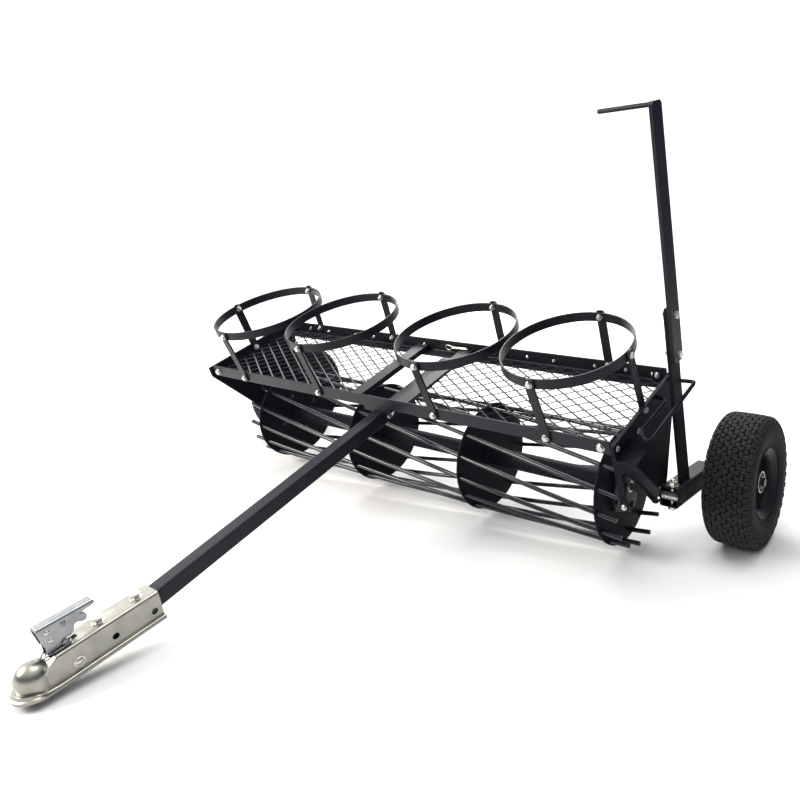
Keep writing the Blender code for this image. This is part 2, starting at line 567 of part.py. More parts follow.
# ---------------------------------------------------------------- roller: a welded cage of rods and discs on its tube
shaft = turned(
    [(0, 813.0), (5.5, 813.0), (5.5, 809.0), (12.0, 809.0), (12.0, 801.0 + GAP), (SHAFT_R, 801.0 + GAP),
     (SHAFT_R, -801.0 - GAP), (12.0, -801.0 - GAP), (12.0, -809.0), (5.5, -809.0), (5.5, -813.0), (0, -813.0)],
    12, along_x(0, AXIS_Y, AXIS_Z),
)
cross_dir = Matrix.Rotation(math.radians(-ARM_PITCH), 3, "X") @ Vector((0, 0, 1))
shaft = drilled(shaft, [((s * (ARM_X + 28.0), AXIS_Y, AXIS_Z), cross_dir, 4.6, 40) for s in (-1, 1)])
place(zinc(shaft, "roller_shaft", smooth=True), SHAFT)
place(black(turned(ring_profile(CORE_IN, CORE_R, -DISC_X[3] + 3.0, DISC_X[3] - 3.0), 18, along_x(0, AXIS_Y, AXIS_Z)), "roller_core", smooth=True), SHAFT)

SEG = 8
BEARING_BOLTS = (5, 95, 185, 275)
discs = []
for dx in DISC_X:
    inner_disc = abs(dx) < 400.0
    bolt_holes = [] if inner_disc else [circle(AXIS_Y + 64.0 * math.cos(math.radians(a)), AXIS_Z + 64.0 * math.sin(math.radians(a)), 4.6, 6) for a in BEARING_BOLTS]
    bore = CORE_R + 0.4 if inner_disc else 18.0
    discs.append(plate(circle(AXIS_Y, AXIS_Z, DISC_R, 30), DISC_T, frame_at((dx - DISC_T / 2, 0, 0), Y_AXIS, Z_AXIS), holes=[circle(AXIS_Y, AXIS_Z, bore, 18), *bolt_holes]))
rods = []
for k in range(ROD_COUNT):
    phi = math.radians(ROD_PHASE) + 2 * math.pi * k / ROD_COUNT
    points = []
    for s in range(SEG + 1):
        x = -ROD_X + 2 * ROD_X * s / SEG
        a = phi + ROD_TWIST * x
        points.append((x, AXIS_Y + ROD_CIRCLE * math.cos(a), AXIS_Z + ROD_CIRCLE * math.sin(a)))
    rods.append(rod(points, ROD_R, sides=6))
cage = boolean(gathered(rods), [gathered(discs)], "UNION")
place(black(cage, "roller_cage", smooth=True), SHAFT)

# Flanged bearings, bolted to the outside of the end discs: the roller turns on the shaft.
for side, label in ((-1, "left"), (1, "right")):
    x = side * (DISC_X[3] + DISC_T / 2 + GAP)
    pts = [(AXIS_Y + 78.0 * math.cos(math.radians(a + da)), AXIS_Z + 78.0 * math.sin(math.radians(a + da))) for a in BEARING_BOLTS for da in (-12, 12)]
    seat = plate(pts, 9.0, frame_at((x if side > 0 else x - 9.0, 0, 0), Y_AXIS, Z_AXIS), holes=[circle(AXIS_Y, AXIS_Z, 20.0, 16)])
    outward = along_x(x, AXIS_Y, AXIS_Z) if side > 0 else along_x(x, AXIS_Y, AXIS_Z) @ Matrix.Rotation(math.pi, 4, "X")
    boss = turned(ring_profile(SHAFT_R + 0.8, 33.0, 0.0, 17.0), 16, outward)
    bolts = gathered([
        bolt((side * (abs(x) + 9.0), AXIS_Y + 64.0 * math.cos(math.radians(a)), AXIS_Z + 64.0 * math.sin(math.radians(a))), (side, 0, 0), 9.0 + DISC_T + 2 * GAP)
        for a in BEARING_BOLTS
    ])
    place(black(boolean(seat, [boss, bolts], "UNION"), f"hub_bearing_{label}"), SHAFT)

# ---------------------------------------------------------------- wheel arms, axles and wheels
down = math.radians(-ARM_PITCH)
ARM_TURN = Matrix.Rotation(down, 4, "X")


def on_arm(obj):
    """Arm pieces are shaped with the shaft at the origin and the arm along +Y."""
    obj.data.transform(Matrix.Translation(mm((0, AXIS_Y, AXIS_Z))) @ ARM_TURN)
    return obj


def outward_x(side, x, y, z):
    """Places a turned piece at side * x, its height away from the middle of the machine."""
    m = along_x(side * x, y, z)
    return m if side > 0 else m @ Matrix.Rotation(math.pi, 4, "X")


axle_local = Matrix.Rotation(-down, 3, "X") @ Vector((0, WHEEL_Y - AXIS_Y, WHEEL_Z - AXIS_Z))
CROSS_X = ARM_X + 28.0  # the bolt that pins an arm to the shaft
for side, label in ((-1, "left"), (1, "right")):
    lo, hi = sorted((side * ARM_X, side * (ARM_X + ARM)))
    square = [(lo, -ARM / 2), (hi, -ARM / 2), (hi, ARM / 2), (lo, ARM / 2)]
    bore = [(lo + 3, -ARM / 2 + 3), (hi - 3, -ARM / 2 + 3), (hi - 3, ARM / 2 - 3), (lo + 3, ARM / 2 - 3)]
    arm = plate(square, ARM_REAR - ARM_FRONT, frame_at((0, ARM_REAR, 0), X_AXIS, Z_AXIS), holes=[bore])
    arm = drilled(arm, [
        (((lo + hi) / 2, 0, 0), X_AXIS, SHAFT_R + 1.0, 80), (((lo + hi) / 2, axle_local.y, axle_local.z), X_AXIS, 11.0, 80),
        ((side * CROSS_X, 0, 0), Z_AXIS, 4.6, 80),
    ])
    place(black(on_arm(arm), f"wheel_arm_{label}"), SHAFT)
    cross = turned(
        [(0, 40.0), (4.0, 40.0), (4.0, 36.0), (8.5, 36.0), (8.5, 25.0 + GAP), (4.0, 25.0 + GAP), (4.0, -25.0 - GAP), (8.5, -25.0 - GAP), (8.5, -32.0), (0, -32.0)],
        6, Matrix.Translation(mm((side * CROSS_X, 0, 0))),
    )
    place(zinc(on_arm(cross), f"arm_bolt_{label}"), SHAFT)
    # Axle bolt: its head beyond the hub, its nut inside the arm's inner face.
    axle = turned(
        [(0, 953.0), (12.0, 953.0), (14.5, 950.0), (14.5, 941.0), (10.0, 941.0), (10.0, 750.4), (14.0, 750.4), (14.0, 741.5), (0, 741.5)],
        12, outward_x(side, 0, WHEEL_Y, WHEEL_Z),
    )
    place(zinc(axle, f"axle_bolt_{label}", smooth=True), SHAFT)
    spacer = turned(ring_profile(10.9, 15.5, 801.0 + GAP, 856.4), 12, outward_x(side, 0, WHEEL_Y, WHEEL_Z))
    place(zinc(spacer, f"axle_spacer_{label}", smooth=True), SHAFT)

RIM_R = 84.0
for side, label in ((-1, "left"), (1, "right")):
    hub_at = (side * WHEEL_X, WHEEL_Y, WHEEL_Z)
    m = outward_x(side, WHEEL_X, WHEEL_Y, WHEEL_Z)
    half = TYRE_W / 2
    tyre_profile = [
        (RIM_R - 4.0, 46.0), (RIM_R + 8.0, 52.0), (114.0, half), (143.0, half - 2.0), (163.0, half - 11.0), (TYRE_R, half - 30.0),
        (TYRE_R, -half + 30.0), (163.0, -half + 11.0), (143.0, -half + 2.0), (114.0, -half), (RIM_R + 8.0, -52.0), (RIM_R - 4.0, -46.0),
        (RIM_R - 4.0, 46.0),
    ]
    place(finish(turned(tyre_profile, 32, m), f"tyre_{label}", RUBBER, 0.0, 0.78, True), hub_at)
    r = RIM_R - 5.0
    rim_profile = [
        (10.8, 41.0), (19.0, 41.0), (21.0, 8.0), (48.0, 3.0), (62.0, 10.0), (66.0, 44.0), (r - 4.0, 52.0), (r, 50.0), (r, -50.0), (r - 4.0, -52.0),
        (66.0, -44.0), (62.0, 4.0), (48.0, -3.0), (21.0, 2.0), (19.0, -42.0), (10.8, -42.0), (10.8, 41.0),
    ]
    place(black(turned(rim_profile, 20, m), f"rim_{label}", True), hub_at)

# ---------------------------------------------------------------- lever on the right arm: two flat bars bolted face to face


def lever_y(z):
    return 75.0 + LEVER_LEAN * (z + 204.0)


def bar(x, z0, z1, extend_low=0.0, where=MACHINE):
    """A flat bar on the lever's centre line, chamfered at its ends; x is its inner face."""
    a, b = Vector((x, lever_y(z0), z0)), Vector((x, lever_y(z1), z1))
    up = (b - a).normalized()
    across = Vector((0, up.z, -up.y))
    length, w, c = (b - a).length, LEVER_W / 2, 7.0
    pts = [(-w, c - extend_low), (-w, length - c), (-w + c, length), (w - c, length), (w, length - c), (w, c - extend_low), (w - c, -extend_low), (-w + c, -extend_low)]
    return plate(pts, LEVER_T, frame_at(a, across, up), where=where)


low = bar(LEVER_X, -225.0, 218.0, extend_low=30.0)
trim = on_arm(box((0, -400.0, -120.0), (2000.0, 500.0, ARM / 2 + GAP), where=HELPERS))
low = boolean(low, [trim], "DIFFERENCE")
high = bar(LEVER_X + LEVER_T + GAP, 82.0, 686.0)
LEVER_BOLT_Z = (199.0, 101.0)
low = drilled(low, [((LEVER_X, lever_y(z), z), X_AXIS, 5.4, 40) for z in LEVER_BOLT_Z])
high = drilled(high, [((LEVER_X + LEVER_T, lever_y(z), z), X_AXIS, 5.4, 40) for z in LEVER_BOLT_Z])
grip_dir = Vector((-150.0, 14.0, -10.0))
grip = turned([(0, 152.0), (5.0, 152.0), (5.7, 151.0), (5.7, 0.0), (0, 0.0)], 10, toward((LEVER_X + LEVER_T + 5.0, lever_y(679.0), 678.5), grip_dir))
high = boolean(high, [grip], "UNION")
place(black(low, "lever_lower"), SHAFT)
place(black(high, "lever_upper"), SHAFT)
for z, label in zip(LEVER_BOLT_Z, ("upper", "lower"), strict=True):
    at = (LEVER_X + 2 * LEVER_T + 2 * GAP, lever_y(z), z)
    place(zinc(bolt(at, X_AXIS, 2 * LEVER_T + 3 * GAP, head=9.5, head_h=6.5, shank=4.6, nut=9.5, nut_h=8.0, tail=5.0, sink=0.0), f"lever_bolt_{label}"), SHAFT)

# ---------------------------------------------------------------- lever guide and front bracket on the right end plate
PX = PLATE_X + PLATE_T + GAP
guide_path = [
    (PX, 154.0, -4.0), (805.0, 154.0, -2.0), (812.0, 150.0, -1.0), (815.0, 142.0, 0.0), (815.0, -92.0, 4.0), (812.0, -103.0, 4.0), (804.0, -104.0, 3.0), (790.0, -93.0, 2.0),
    (778.0, -78.0, 1.0), (775.0, -66.0, 0.0), (775.0, 56.0, -6.0), (773.0, 68.0, -6.0), (765.0, 74.0, -6.0), (PX, 74.0, -6.0),
]
place(black(rod(guide_path, 5.0, sides=8), "lever_guide", smooth=True))

# A sloping strap beside the end plate's front edge, with a shelf and a wall at its top that bolt to the plate.
strap_dir = Vector((0, 131.0, -200.0)).normalized()
strap = plate([(0, 0), (44.0, 0), (44.0, 158.0), (8.0, 236.0), (0, 236.0)], 4.0, frame_at((PX + 8.0, -158.0, -27.0), X_AXIS, strap_dir))
shelf = box((PX + 7.0, -157.0, -31.0), (PX + 52.0, -100.0, -27.0))
low_wall = box((PX, -120.0, -60.0), (PX + 4.0, -70.0, -27.5))
joiner = box((PX, -130.0, -31.0), (PX + 20.0, -72.0, -27.0))
strap = boolean(strap, [shelf, joiner, low_wall], "UNION")
place(black(strap, "lever_bracket"))

# A bar hung from the front rail's foot beside the right end plate, with a bolt at its end.
hanger = box((722.0, -131.0, -190.0), (741.0, -126.0, FRONT_Z0 - GAP))
hung = turned([(0, 8.0), (7.0, 8.0), (7.0, -0.6), (0, -0.6)], 6, toward((731.5, -131.0, -178.0), (0, -1, 0)))
place(black(boolean(hanger, [hung], "UNION"), "hanger_bar"))

# Hairpin clip hung on the rear rail.
cy = REAR_Y - RAIL_T - 7.0
clip = rod([(20.0, cy, 14.0), (13.0, cy, 12.0), (10.0, cy, 5.0), (14.0, cy, -1.0), (22.0, cy, -1.0), (32.0, cy, 6.0), (96.0, cy, 6.5)], 2.5, sides=6)
place(zinc(clip, "hairpin_clip", smooth=True))
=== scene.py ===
"""The looks of the tow-behind cultipacker: fine steelwork, expanded mesh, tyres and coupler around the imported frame.

Pieces are laid out in the machine's own space (millimetres, X towards the lever, Y to the rear, Z square to the deck)
and then stand with the machine, whose deck is pitched nose down as it is parked.
"""

import math

import bmesh
import bpy
from mathutils import Matrix, Vector


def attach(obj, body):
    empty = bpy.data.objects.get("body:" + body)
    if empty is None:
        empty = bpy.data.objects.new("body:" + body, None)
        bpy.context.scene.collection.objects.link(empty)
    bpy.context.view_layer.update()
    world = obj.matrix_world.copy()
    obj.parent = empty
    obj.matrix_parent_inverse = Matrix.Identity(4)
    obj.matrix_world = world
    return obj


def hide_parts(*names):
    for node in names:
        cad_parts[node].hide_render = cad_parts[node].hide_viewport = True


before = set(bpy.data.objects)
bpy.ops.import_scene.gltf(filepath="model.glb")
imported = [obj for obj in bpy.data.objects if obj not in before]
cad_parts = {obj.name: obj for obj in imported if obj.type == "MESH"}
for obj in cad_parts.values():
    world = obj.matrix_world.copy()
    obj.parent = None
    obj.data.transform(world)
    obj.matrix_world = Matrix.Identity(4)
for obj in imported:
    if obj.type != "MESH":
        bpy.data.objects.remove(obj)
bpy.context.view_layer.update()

# ---------------------------------------------------------------- the machine's space, and its camera
DECK = Matrix.Translation((0, 0.2773, 0.4001)) @ Matrix.Rotation(math.radians(18.5), 4, "X")


def make_camera():
    data = bpy.data.cameras.new("camera")
    cam = bpy.data.objects.new("camera", data)
    bpy.context.scene.collection.objects.link(cam)
    right = Vector((0.84508, 0.50306, -0.18101))
    down = Vector((0.04818, -0.40885, -0.91133))
    ahead = Vector((-0.53246, 0.76143, -0.36975))
    pose = Matrix((right, -down, -ahead)).transposed().to_4x4()
    pose.translation = Vector((1.4989, -1.2640, 0.9564))
    cam.matrix_world = DECK @ pose
    data.sensor_width = 36.0
    data.lens = 733.11 / 800.0 * 36.0
    data.shift_x = (400.0 - 569.35) / 800.0
    data.shift_y = (276.07 - 400.0) / 800.0
    data.clip_start, data.clip_end = 0.05, 100.0
    bpy.context.scene.camera = cam


make_camera()

# ---------------------------------------------------------------- materials


class Graph:
    """Short names for building a node material."""

    def __init__(self, name):
        self.mat = bpy.data.materials.new(name)
        self.mat.use_nodes = True
        self.tree = self.mat.node_tree
        self.shader = self.tree.nodes["Principled BSDF"]
        self.coords = self.tree.nodes.new("ShaderNodeTexCoord").outputs["Object"]

    def node(self, kind, **values):
        n = self.tree.nodes.new(kind)
        for key, value in values.items():
            setattr(n, key, value)
        return n

    def link(self, a, b):
        self.tree.links.new(a, b)

    def noise(self, size_mm, detail=3.0, rough=0.5, coords=None, stretch=None):
        n = self.node("ShaderNodeTexNoise")
        n.inputs["Scale"].default_value = 1000.0 / size_mm
        n.inputs["Detail"].default_value = detail
        n.inputs["Roughness"].default_value = rough
        src = coords or self.coords
        if stretch:
            m = self.node("ShaderNodeMapping")
            m.inputs["Scale"].default_value = stretch
            self.link(src, m.inputs["Vector"])
            src = m.outputs["Vector"]
        self.link(src, n.inputs["Vector"])
        return n.outputs["Fac"]

    def remap(self, value, a0, a1, b0, b1):
        n = self.node("ShaderNodeMapRange")
        for key, v in zip(("From Min", "From Max", "To Min", "To Max"), (a0, a1, b0, b1)):
            n.inputs[key].default_value = v
        self.link(value, n.inputs["Value"])
        return n.outputs["Result"]

    def mix(self, factor, a, b):
        n = self.node("ShaderNodeMix", data_type="RGBA")
        self.link(factor, n.inputs["Factor"])
        for socket, v in ((n.inputs["A"], a), (n.inputs["B"], b)):
            if isinstance(v, tuple):
                socket.default_value = (*v, 1.0)
            else:
                self.link(v, socket)
        return n.outputs["Result"]

    def math(self, op, a, b):
        n = self.node("ShaderNodeMath", operation=op)
        for socket, v in zip(n.inputs, (a, b)):
            if isinstance(v, (int, float)):
                socket.default_value = v
            else:
                self.link(v, socket)
        return n.outputs[0]

    def bump(self, height, distance_mm, strength=1.0, onto=None):
        n = self.node("ShaderNodeBump")
        n.inputs["Distance"].default_value = distance_mm / 1000.0
        n.inputs["Strength"].default_value = strength
        self.link(height, n.inputs["Height"])
        if onto is not None:
            self.link(onto, n.inputs["Normal"])
        return n.outputs["Normal"]

    def edges(self, low=0.52, high=0.62):
        """1 on convex edges."""
        g = self.node("ShaderNodeNewGeometry")
        return self.remap(g.outputs["Pointiness"], low, high, 0.0, 1.0)

    def set(self, **values):
        for key, v in values.items():
            socket = self.shader.inputs[key.replace("_", " ")]
            if isinstance(v, (int, float)):
                socket.default_value = v
            elif isinstance(v, tuple):
                socket.default_value = (*v, 1.0)
            else:
                self.link(v, socket)
        return self


def powder(name, dark, light, rough, level):
    """Satin powder coat: a fine orange peel, slow changes of gloss, and lighter edges, partly a thin coat and partly a
    painted highlight.
    """
    g = Graph(name)
    cloud = g.noise(160, 4.0)
    speck = g.noise(1.1, 2.0)
    peel = g.noise(2.6, 2.0)
    color = g.mix(g.remap(cloud, 0.35, 0.65, 0.0, 1.0), dark, light)
    color = g.mix(g.math("MULTIPLY", g.remap(speck, 0.60, 0.72, 0.0, 1.0), 0.35), color, tuple(2.2 * c for c in light))
    # Lighter on convex edges: partly thin powder, partly a painted highlight along the edges.
    color = g.mix(g.math("MULTIPLY", g.edges(0.53, 0.66), 0.5), color, tuple(2.6 * c for c in light))
    gloss = g.math("ADD", g.remap(cloud, 0.3, 0.7, rough - 0.05, rough + 0.06), g.remap(speck, 0.3, 0.7, -0.03, 0.03))
    g.set(Base_Color=color, Roughness=gloss, Metallic=0.0, Normal=g.bump(speck, 0.05, 0.5, g.bump(peel, 0.10, 0.55)))
    g.shader.inputs["Specular IOR Level"].default_value = level
    return g.mat


def plated(name, bright, tint, rough, wear=0.5):
    """Zinc plating: bright with a faint tint, cloudy gloss, fine drawing marks and dull specks."""
    g = Graph(name)
    cloud = g.noise(22, 4.0)
    fine = g.noise(1.6, 3.0)
    drawn = g.noise(1.2, 2.0, 0.6, stretch=(1.0, 0.06, 1.0))
    spangle = g.node("ShaderNodeTexVoronoi")
    spangle.inputs["Scale"].default_value = 260.0
    g.link(g.coords, spangle.inputs["Vector"])
    color = g.mix(g.remap(cloud, 0.3, 0.7, 0.0, 1.0), bright, tint)
    color = g.mix(g.math("MULTIPLY", g.remap(fine, 0.58, 0.75, 0.0, 1.0), 0.3 * wear), color, tuple(0.45 * c for c in bright))
    gloss = g.math("ADD", g.remap(cloud, 0.3, 0.7, rough - 0.07, rough + 0.09), g.remap(spangle.outputs["Distance"], 0.0, 0.5, -0.03, 0.03))
    g.set(Base_Color=color, Metallic=1.0, Roughness=gloss, Normal=g.bump(drawn, 0.03, 0.35, g.bump(cloud, 0.5, 0.15)))
    return g.mat


def rubber(name, dark, dust_and_light):
    g = Graph(name)
    grain = g.noise(0.9, 3.0)
    cloud = g.noise(60, 4.0)
    film = g.noise(7, 4.0, 0.6)
    # The lighter film is dust, and on the tread it is partly painted light as well.
    dust_and_light_film = g.math("MULTIPLY", g.remap(film, 0.42, 0.68, 0.0, 1.0), g.remap(cloud, 0.3, 0.7, 0.35, 0.9))
    color = g.mix(dust_and_light_film, dark, dust_and_light)
    # Lighter still on the convex edges of the blocks.
    color = g.mix(g.math("MULTIPLY", g.edges(0.52, 0.6), 0.35), color, tuple(1.5 * c for c in dust_and_light))
    g.set(Base_Color=color, Roughness=g.remap(film, 0.3, 0.7, 0.62, 0.82), Normal=g.bump(grain, 0.12, 0.6, g.bump(film, 0.35, 0.4)))
    g.shader.inputs["Specular IOR Level"].default_value = 0.12
    return g.mat


BLACK = powder("black_powder_coat", (0.0078, 0.0090, 0.0140), (0.0105, 0.0116, 0.0155), 0.34, 0.17)
DEEP_BLACK = powder("black_powder_coat_deep", (0.0072, 0.0084, 0.0125), (0.0095, 0.0105, 0.0140), 0.42, 0.03)
ROD_BLACK = powder("black_powder_coat_rods", (0.0078, 0.0090, 0.0140), (0.0105, 0.0116, 0.0155), 0.16, 0.42)
DARK_STEEL = powder("dark_steel", (0.011, 0.011, 0.013), (0.020, 0.020, 0.020), 0.34, 0.35)
RIM_BLACK = powder("rim_black", (0.0060, 0.0068, 0.0100), (0.0088, 0.0094, 0.0125), 0.42, 0.14)
ZINC = plated("zinc_bright", (0.62, 0.61, 0.58), (0.50, 0.49, 0.45), 0.30)
COUPLER_ZINC = plated("coupler_zinc", (0.315, 0.312, 0.275), (0.27, 0.267, 0.235), 0.30)
LATCH_ZINC = plated("latch_zinc", (0.27, 0.28, 0.285), (0.23, 0.24, 0.25), 0.30)
# One rubber in two tones: the tread's lighter warm grey is partly dust and partly painted light on faces turned up to
# the lamps; the sidewall's darker, bluer tone is partly clean rubber and partly painted shade.
TREAD = rubber("tread_rubber", (0.0150, 0.0150, 0.0145), (0.0420, 0.0405, 0.0350))
SIDEWALL = rubber("sidewall_rubber", (0.0070, 0.0076, 0.0105), (0.0120, 0.0125, 0.0155))

# ---------------------------------------------------------------- shaping


def mm(v):
    return Vector(v) / 1000.0


def curve_mesh(curve, matrix=None):
    obj = bpy.data.objects.new("curve", curve)
    bpy.context.scene.collection.objects.link(obj)
    bpy.context.view_layer.update()
    graph = bpy.context.evaluated_depsgraph_get()
    mesh = bpy.data.meshes.new_from_object(obj.evaluated_get(graph), depsgraph=graph)
    bpy.data.objects.remove(obj)
    bpy.data.curves.remove(curve)
    bm = bmesh.new()
    bm.from_mesh(mesh)
    bmesh.ops.remove_doubles(bm, verts=bm.verts, dist=2e-6)
    bmesh.ops.recalc_face_normals(bm, faces=bm.faces)
    bm.to_mesh(mesh)
    bm.free()
    if matrix is not None:
        mesh.transform(matrix)
    return mesh


def frame_at(origin, x_axis, y_axis):
    x, y = Vector(x_axis).normalized(), Vector(y_axis).normalized()
    m = Matrix((x, y, x.cross(y))).transposed().to_4x4()
    m.translation = mm(origin)
    return m


X, Y, Z = (1, 0, 0), (0, 1, 0), (0, 0, 1)


def fillet(points, r, n=4, closed=True):
    """The outline with its corners rounded to radius r, or to r[k] at point k."""
    pts = [Vector(p) for p in points]
    out = []
    for k, p in enumerate(pts):
        if not closed and k in (0, len(pts) - 1):
            out.append(tuple(p))
            continue
        a, b = pts[k - 1] - p, pts[(k + 1) % len(pts)] - p
        rk = r[k] if isinstance(r, (list, tuple)) else r
        la, lb = a.length, b.length
        a.normalize()
        b.normalize()
        half = a.angle(b) / 2
        if rk <= 0.01 or half > math.radians(86):
            out.append(tuple(p))
            continue
        reach = min(rk / math.tan(half), 0.47 * la, 0.47 * lb)
        rk = reach * math.tan(half)
        centre = p + (a + b).normalized() * (rk / math.sin(half))
        s, e = p + a * reach - centre, p + b * reach - centre
        turn = s.angle(e)
        steps = max(1, round(n * turn / 1.6))
        for i in range(steps + 1):
            t = i / steps
            v = (s * math.sin((1 - t) * turn) + e * math.sin(t * turn)) / math.sin(turn)
            out.append(tuple(centre + v))
    return out


def circle(cx, cy, r, n=32, start=0.0):
    return [(cx + r * math.cos(start + 2 * math.pi * k / n), cy + r * math.sin(start + 2 * math.pi * k / n)) for k in range(n)]


def plate(outline, t, where, holes=(), r=0.6, steps=1):
    """A flat plate with its rims rounded to r; its own x, y, and thickness along its z from 0."""
    curve = bpy.data.curves.new("outline", "CURVE")
    curve.dimensions, curve.fill_mode = "2D", "BOTH"
    r = min(r, t * 0.45)
    curve.bevel_depth, curve.bevel_resolution, curve.offset = r / 1000.0, steps, -r / 1000.0
    curve.extrude = (t / 2 - r) / 1000.0
    for pts in [outline, *holes]:
        spline = curve.splines.new("POLY")
        spline.points.add(len(pts) - 1)
        for point, p in zip(spline.points, pts):
            point.co = (p[0] / 1000.0, p[1] / 1000.0, 0.0, 1.0)
        spline.use_cyclic_u = True
    return curve_mesh(curve, where @ Matrix.Translation((0, 0, t / 2000.0)))


def rounded_box(lo, hi, r=0.8, axis="Z", corner=None):
    """A block with rounded rims, its larger faces square to axis."""
    (x0, y0, z0), (x1, y1, z1) = lo, hi
    if axis == "Z":
        pts, t, m = [(x0, y0), (x1, y0), (x1, y1), (x0, y1)], z1 - z0, frame_at((0, 0, z0), X, Y)
    elif axis == "X":
        pts, t, m = [(y0, z0), (y1, z0), (y1, z1), (y0, z1)], x1 - x0, frame_at((x0, 0, 0), Y, Z)
    else:
        pts, t, m = [(z0, x0), (z1, x0), (z1, x1), (z0, x1)], y1 - y0, frame_at((0, y0, 0), Z, X)
    return plate(fillet(pts, corner or r), t, m, r=r)


def from_rings(rings, cap=True, closed=False):
    """A skin over rings of points, each ring closed on itself."""
    bm = bmesh.new()
    rows = [[bm.verts.new(mm(p)) for p in ring] for ring in rings]
    n = len(rings[0])
    pairs = list(zip(rows, rows[1:])) + ([(rows[-1], rows[0])] if closed else [])
    for a, b in pairs:
        for k in range(n):
            bm.faces.new((a[k], a[(k + 1) % n], b[(k + 1) % n], b[k]))
    if cap and not closed:
        bm.faces.new(rows[0][::-1])
        bm.faces.new(rows[-1])
    bmesh.ops.remove_doubles(bm, verts=bm.verts, dist=1e-7)
    bmesh.ops.recalc_face_normals(bm, faces=bm.faces)
    mesh = bpy.data.meshes.new("skin")
    bm.to_mesh(mesh)
    bm.free()
    return mesh


def lathe(profile, steps, where, closed=False):
    """Turned about its own z: profile of (radius, height); where places it."""
    rings = [[(max(r, 0.001) * math.cos(2 * math.pi * k / steps), max(r, 0.001) * math.sin(2 * math.pi * k / steps), h) for k in range(steps)] for r, h in profile]
    mesh = from_rings(rings, cap=not closed, closed=closed)
    mesh.transform(where)
    return mesh


def sweep(points, r, sides=12, chamfer=0.0, cyclic=False):
    """A round bar along points, its ends flat with a small chamfer."""
    pts = [Vector(p) for p in points]
    if chamfer and not cyclic:
        a, b = (pts[1] - pts[0]).normalized(), (pts[-2] - pts[-1]).normalized()
        pts = [pts[0], pts[0] + a * chamfer, *pts[1:-1], pts[-1] + b * chamfer, pts[-1]]
    count = len(pts)
    tangents = []
    for k in range(count):
        if cyclic:
            t = pts[(k + 1) % count] - pts[k - 1]
        else:
            t = pts[min(k + 1, count - 1)] - pts[max(k - 1, 0)]
        tangents.append(t.normalized())
    seed = Vector(Z) if abs(tangents[0].z) < 0.9 else Vector(X)
    side = tangents[0].cross(seed).normalized()
    rings = []
    for k, (p, t) in enumerate(zip(pts, tangents)):
        side = (side - t * side.dot(t)).normalized()
        up = t.cross(side)
        rr = r - chamfer * 0.8 if chamfer and not cyclic and k in (0, count - 1) else r
        rings.append([p + side * (rr * math.cos(2 * math.pi * i / sides)) + up * (rr * math.sin(2 * math.pi * i / sides)) for i in range(sides)])
    return from_rings(rings, closed=cyclic)


def rounded_path(points, r, n=5):
    return [Vector(p) for p in fillet(points, r, n, closed=False)]


def strip(points, side, width, t, ends=0.6, rc=0.9):
    """A flat bar bent along points, width across side, its ends rounded; ends is how round."""
    pts = [Vector(p) for p in points]
    side = Vector(side).normalized()
    lengths = [0.0]
    for a, b in zip(pts, pts[1:]):
        lengths.append(lengths[-1] + (b - a).length)
    total, e = lengths[-1], width / 2 * ends
    stops = sorted({round(s, 4) for s in [*lengths, *[e * (1 - math.cos(math.radians(a))) for a in (0, 15, 30, 45, 60, 75, 90)], *[total - e * (1 - math.cos(math.radians(a))) for a in (0, 15, 30, 45, 60, 75, 90)]]})

    def at(s):
        for k in range(len(pts) - 1):
            if s <= lengths[k + 1] + 1e-6:
                f = (s - lengths[k]) / max(1e-9, lengths[k + 1] - lengths[k])
                return pts[k].lerp(pts[k + 1], min(1.0, max(0.0, f))), k
        return pts[-1], len(pts) - 2

    rings = []
    for s in stops:
        p, k = at(s)
        a, _ = at(max(0.0, s - 0.05))
        b, _ = at(min(total, s + 0.05))
        tangent = (b - a).normalized()
        normal = tangent.cross(side).normalized()
        d = min(s, total - s)
        half = width / 2 * (math.sqrt(max(0.0, 1 - ((e - d) / e) ** 2)) if d < e else 1.0)
        half = max(half, rc + 0.15)
        ring = []
        for cx, cy, a0 in ((half - rc, t / 2 - rc, 0), (-half + rc, t / 2 - rc, 90), (-half + rc, -t / 2 + rc, 180), (half - rc, -t / 2 + rc, 270)):
            for a in (0, 45, 90):
                w = math.radians(a0 + a)
                ring.append(p + side * (cx + rc * math.cos(w)) + normal * (cy + rc * math.sin(w)))
        rings.append(ring)
    return from_rings(rings)


def toward(origin, direction):
    return Matrix.Translation(mm(origin)) @ Vector(direction).to_track_quat("Z", "Y").to_matrix().to_4x4()


def outward_x(side, x, y=0.0, z=0.0):
    """Places a turned piece at side * x, its height growing away from the middle of the machine."""
    m = Matrix.Translation(mm((side * x, y, z))) @ Matrix.Rotation(math.pi / 2, 4, "Y")
    return m if side > 0 else m @ Matrix.Rotation(math.pi, 4, "X")


def hex_ring(apothem, z, blend=1.0, n=36, turn=0.0):
    ring = []
    for k in range(n):
        a = 2 * math.pi * k / n
        local = (a % (math.pi / 3)) - math.pi / 6
        r = apothem / math.cos(local)
        r = r * blend + apothem * (1 - blend) if blend < 1 else r
        ring.append((r * math.cos(a + turn), r * math.sin(a + turn), z))
    return ring


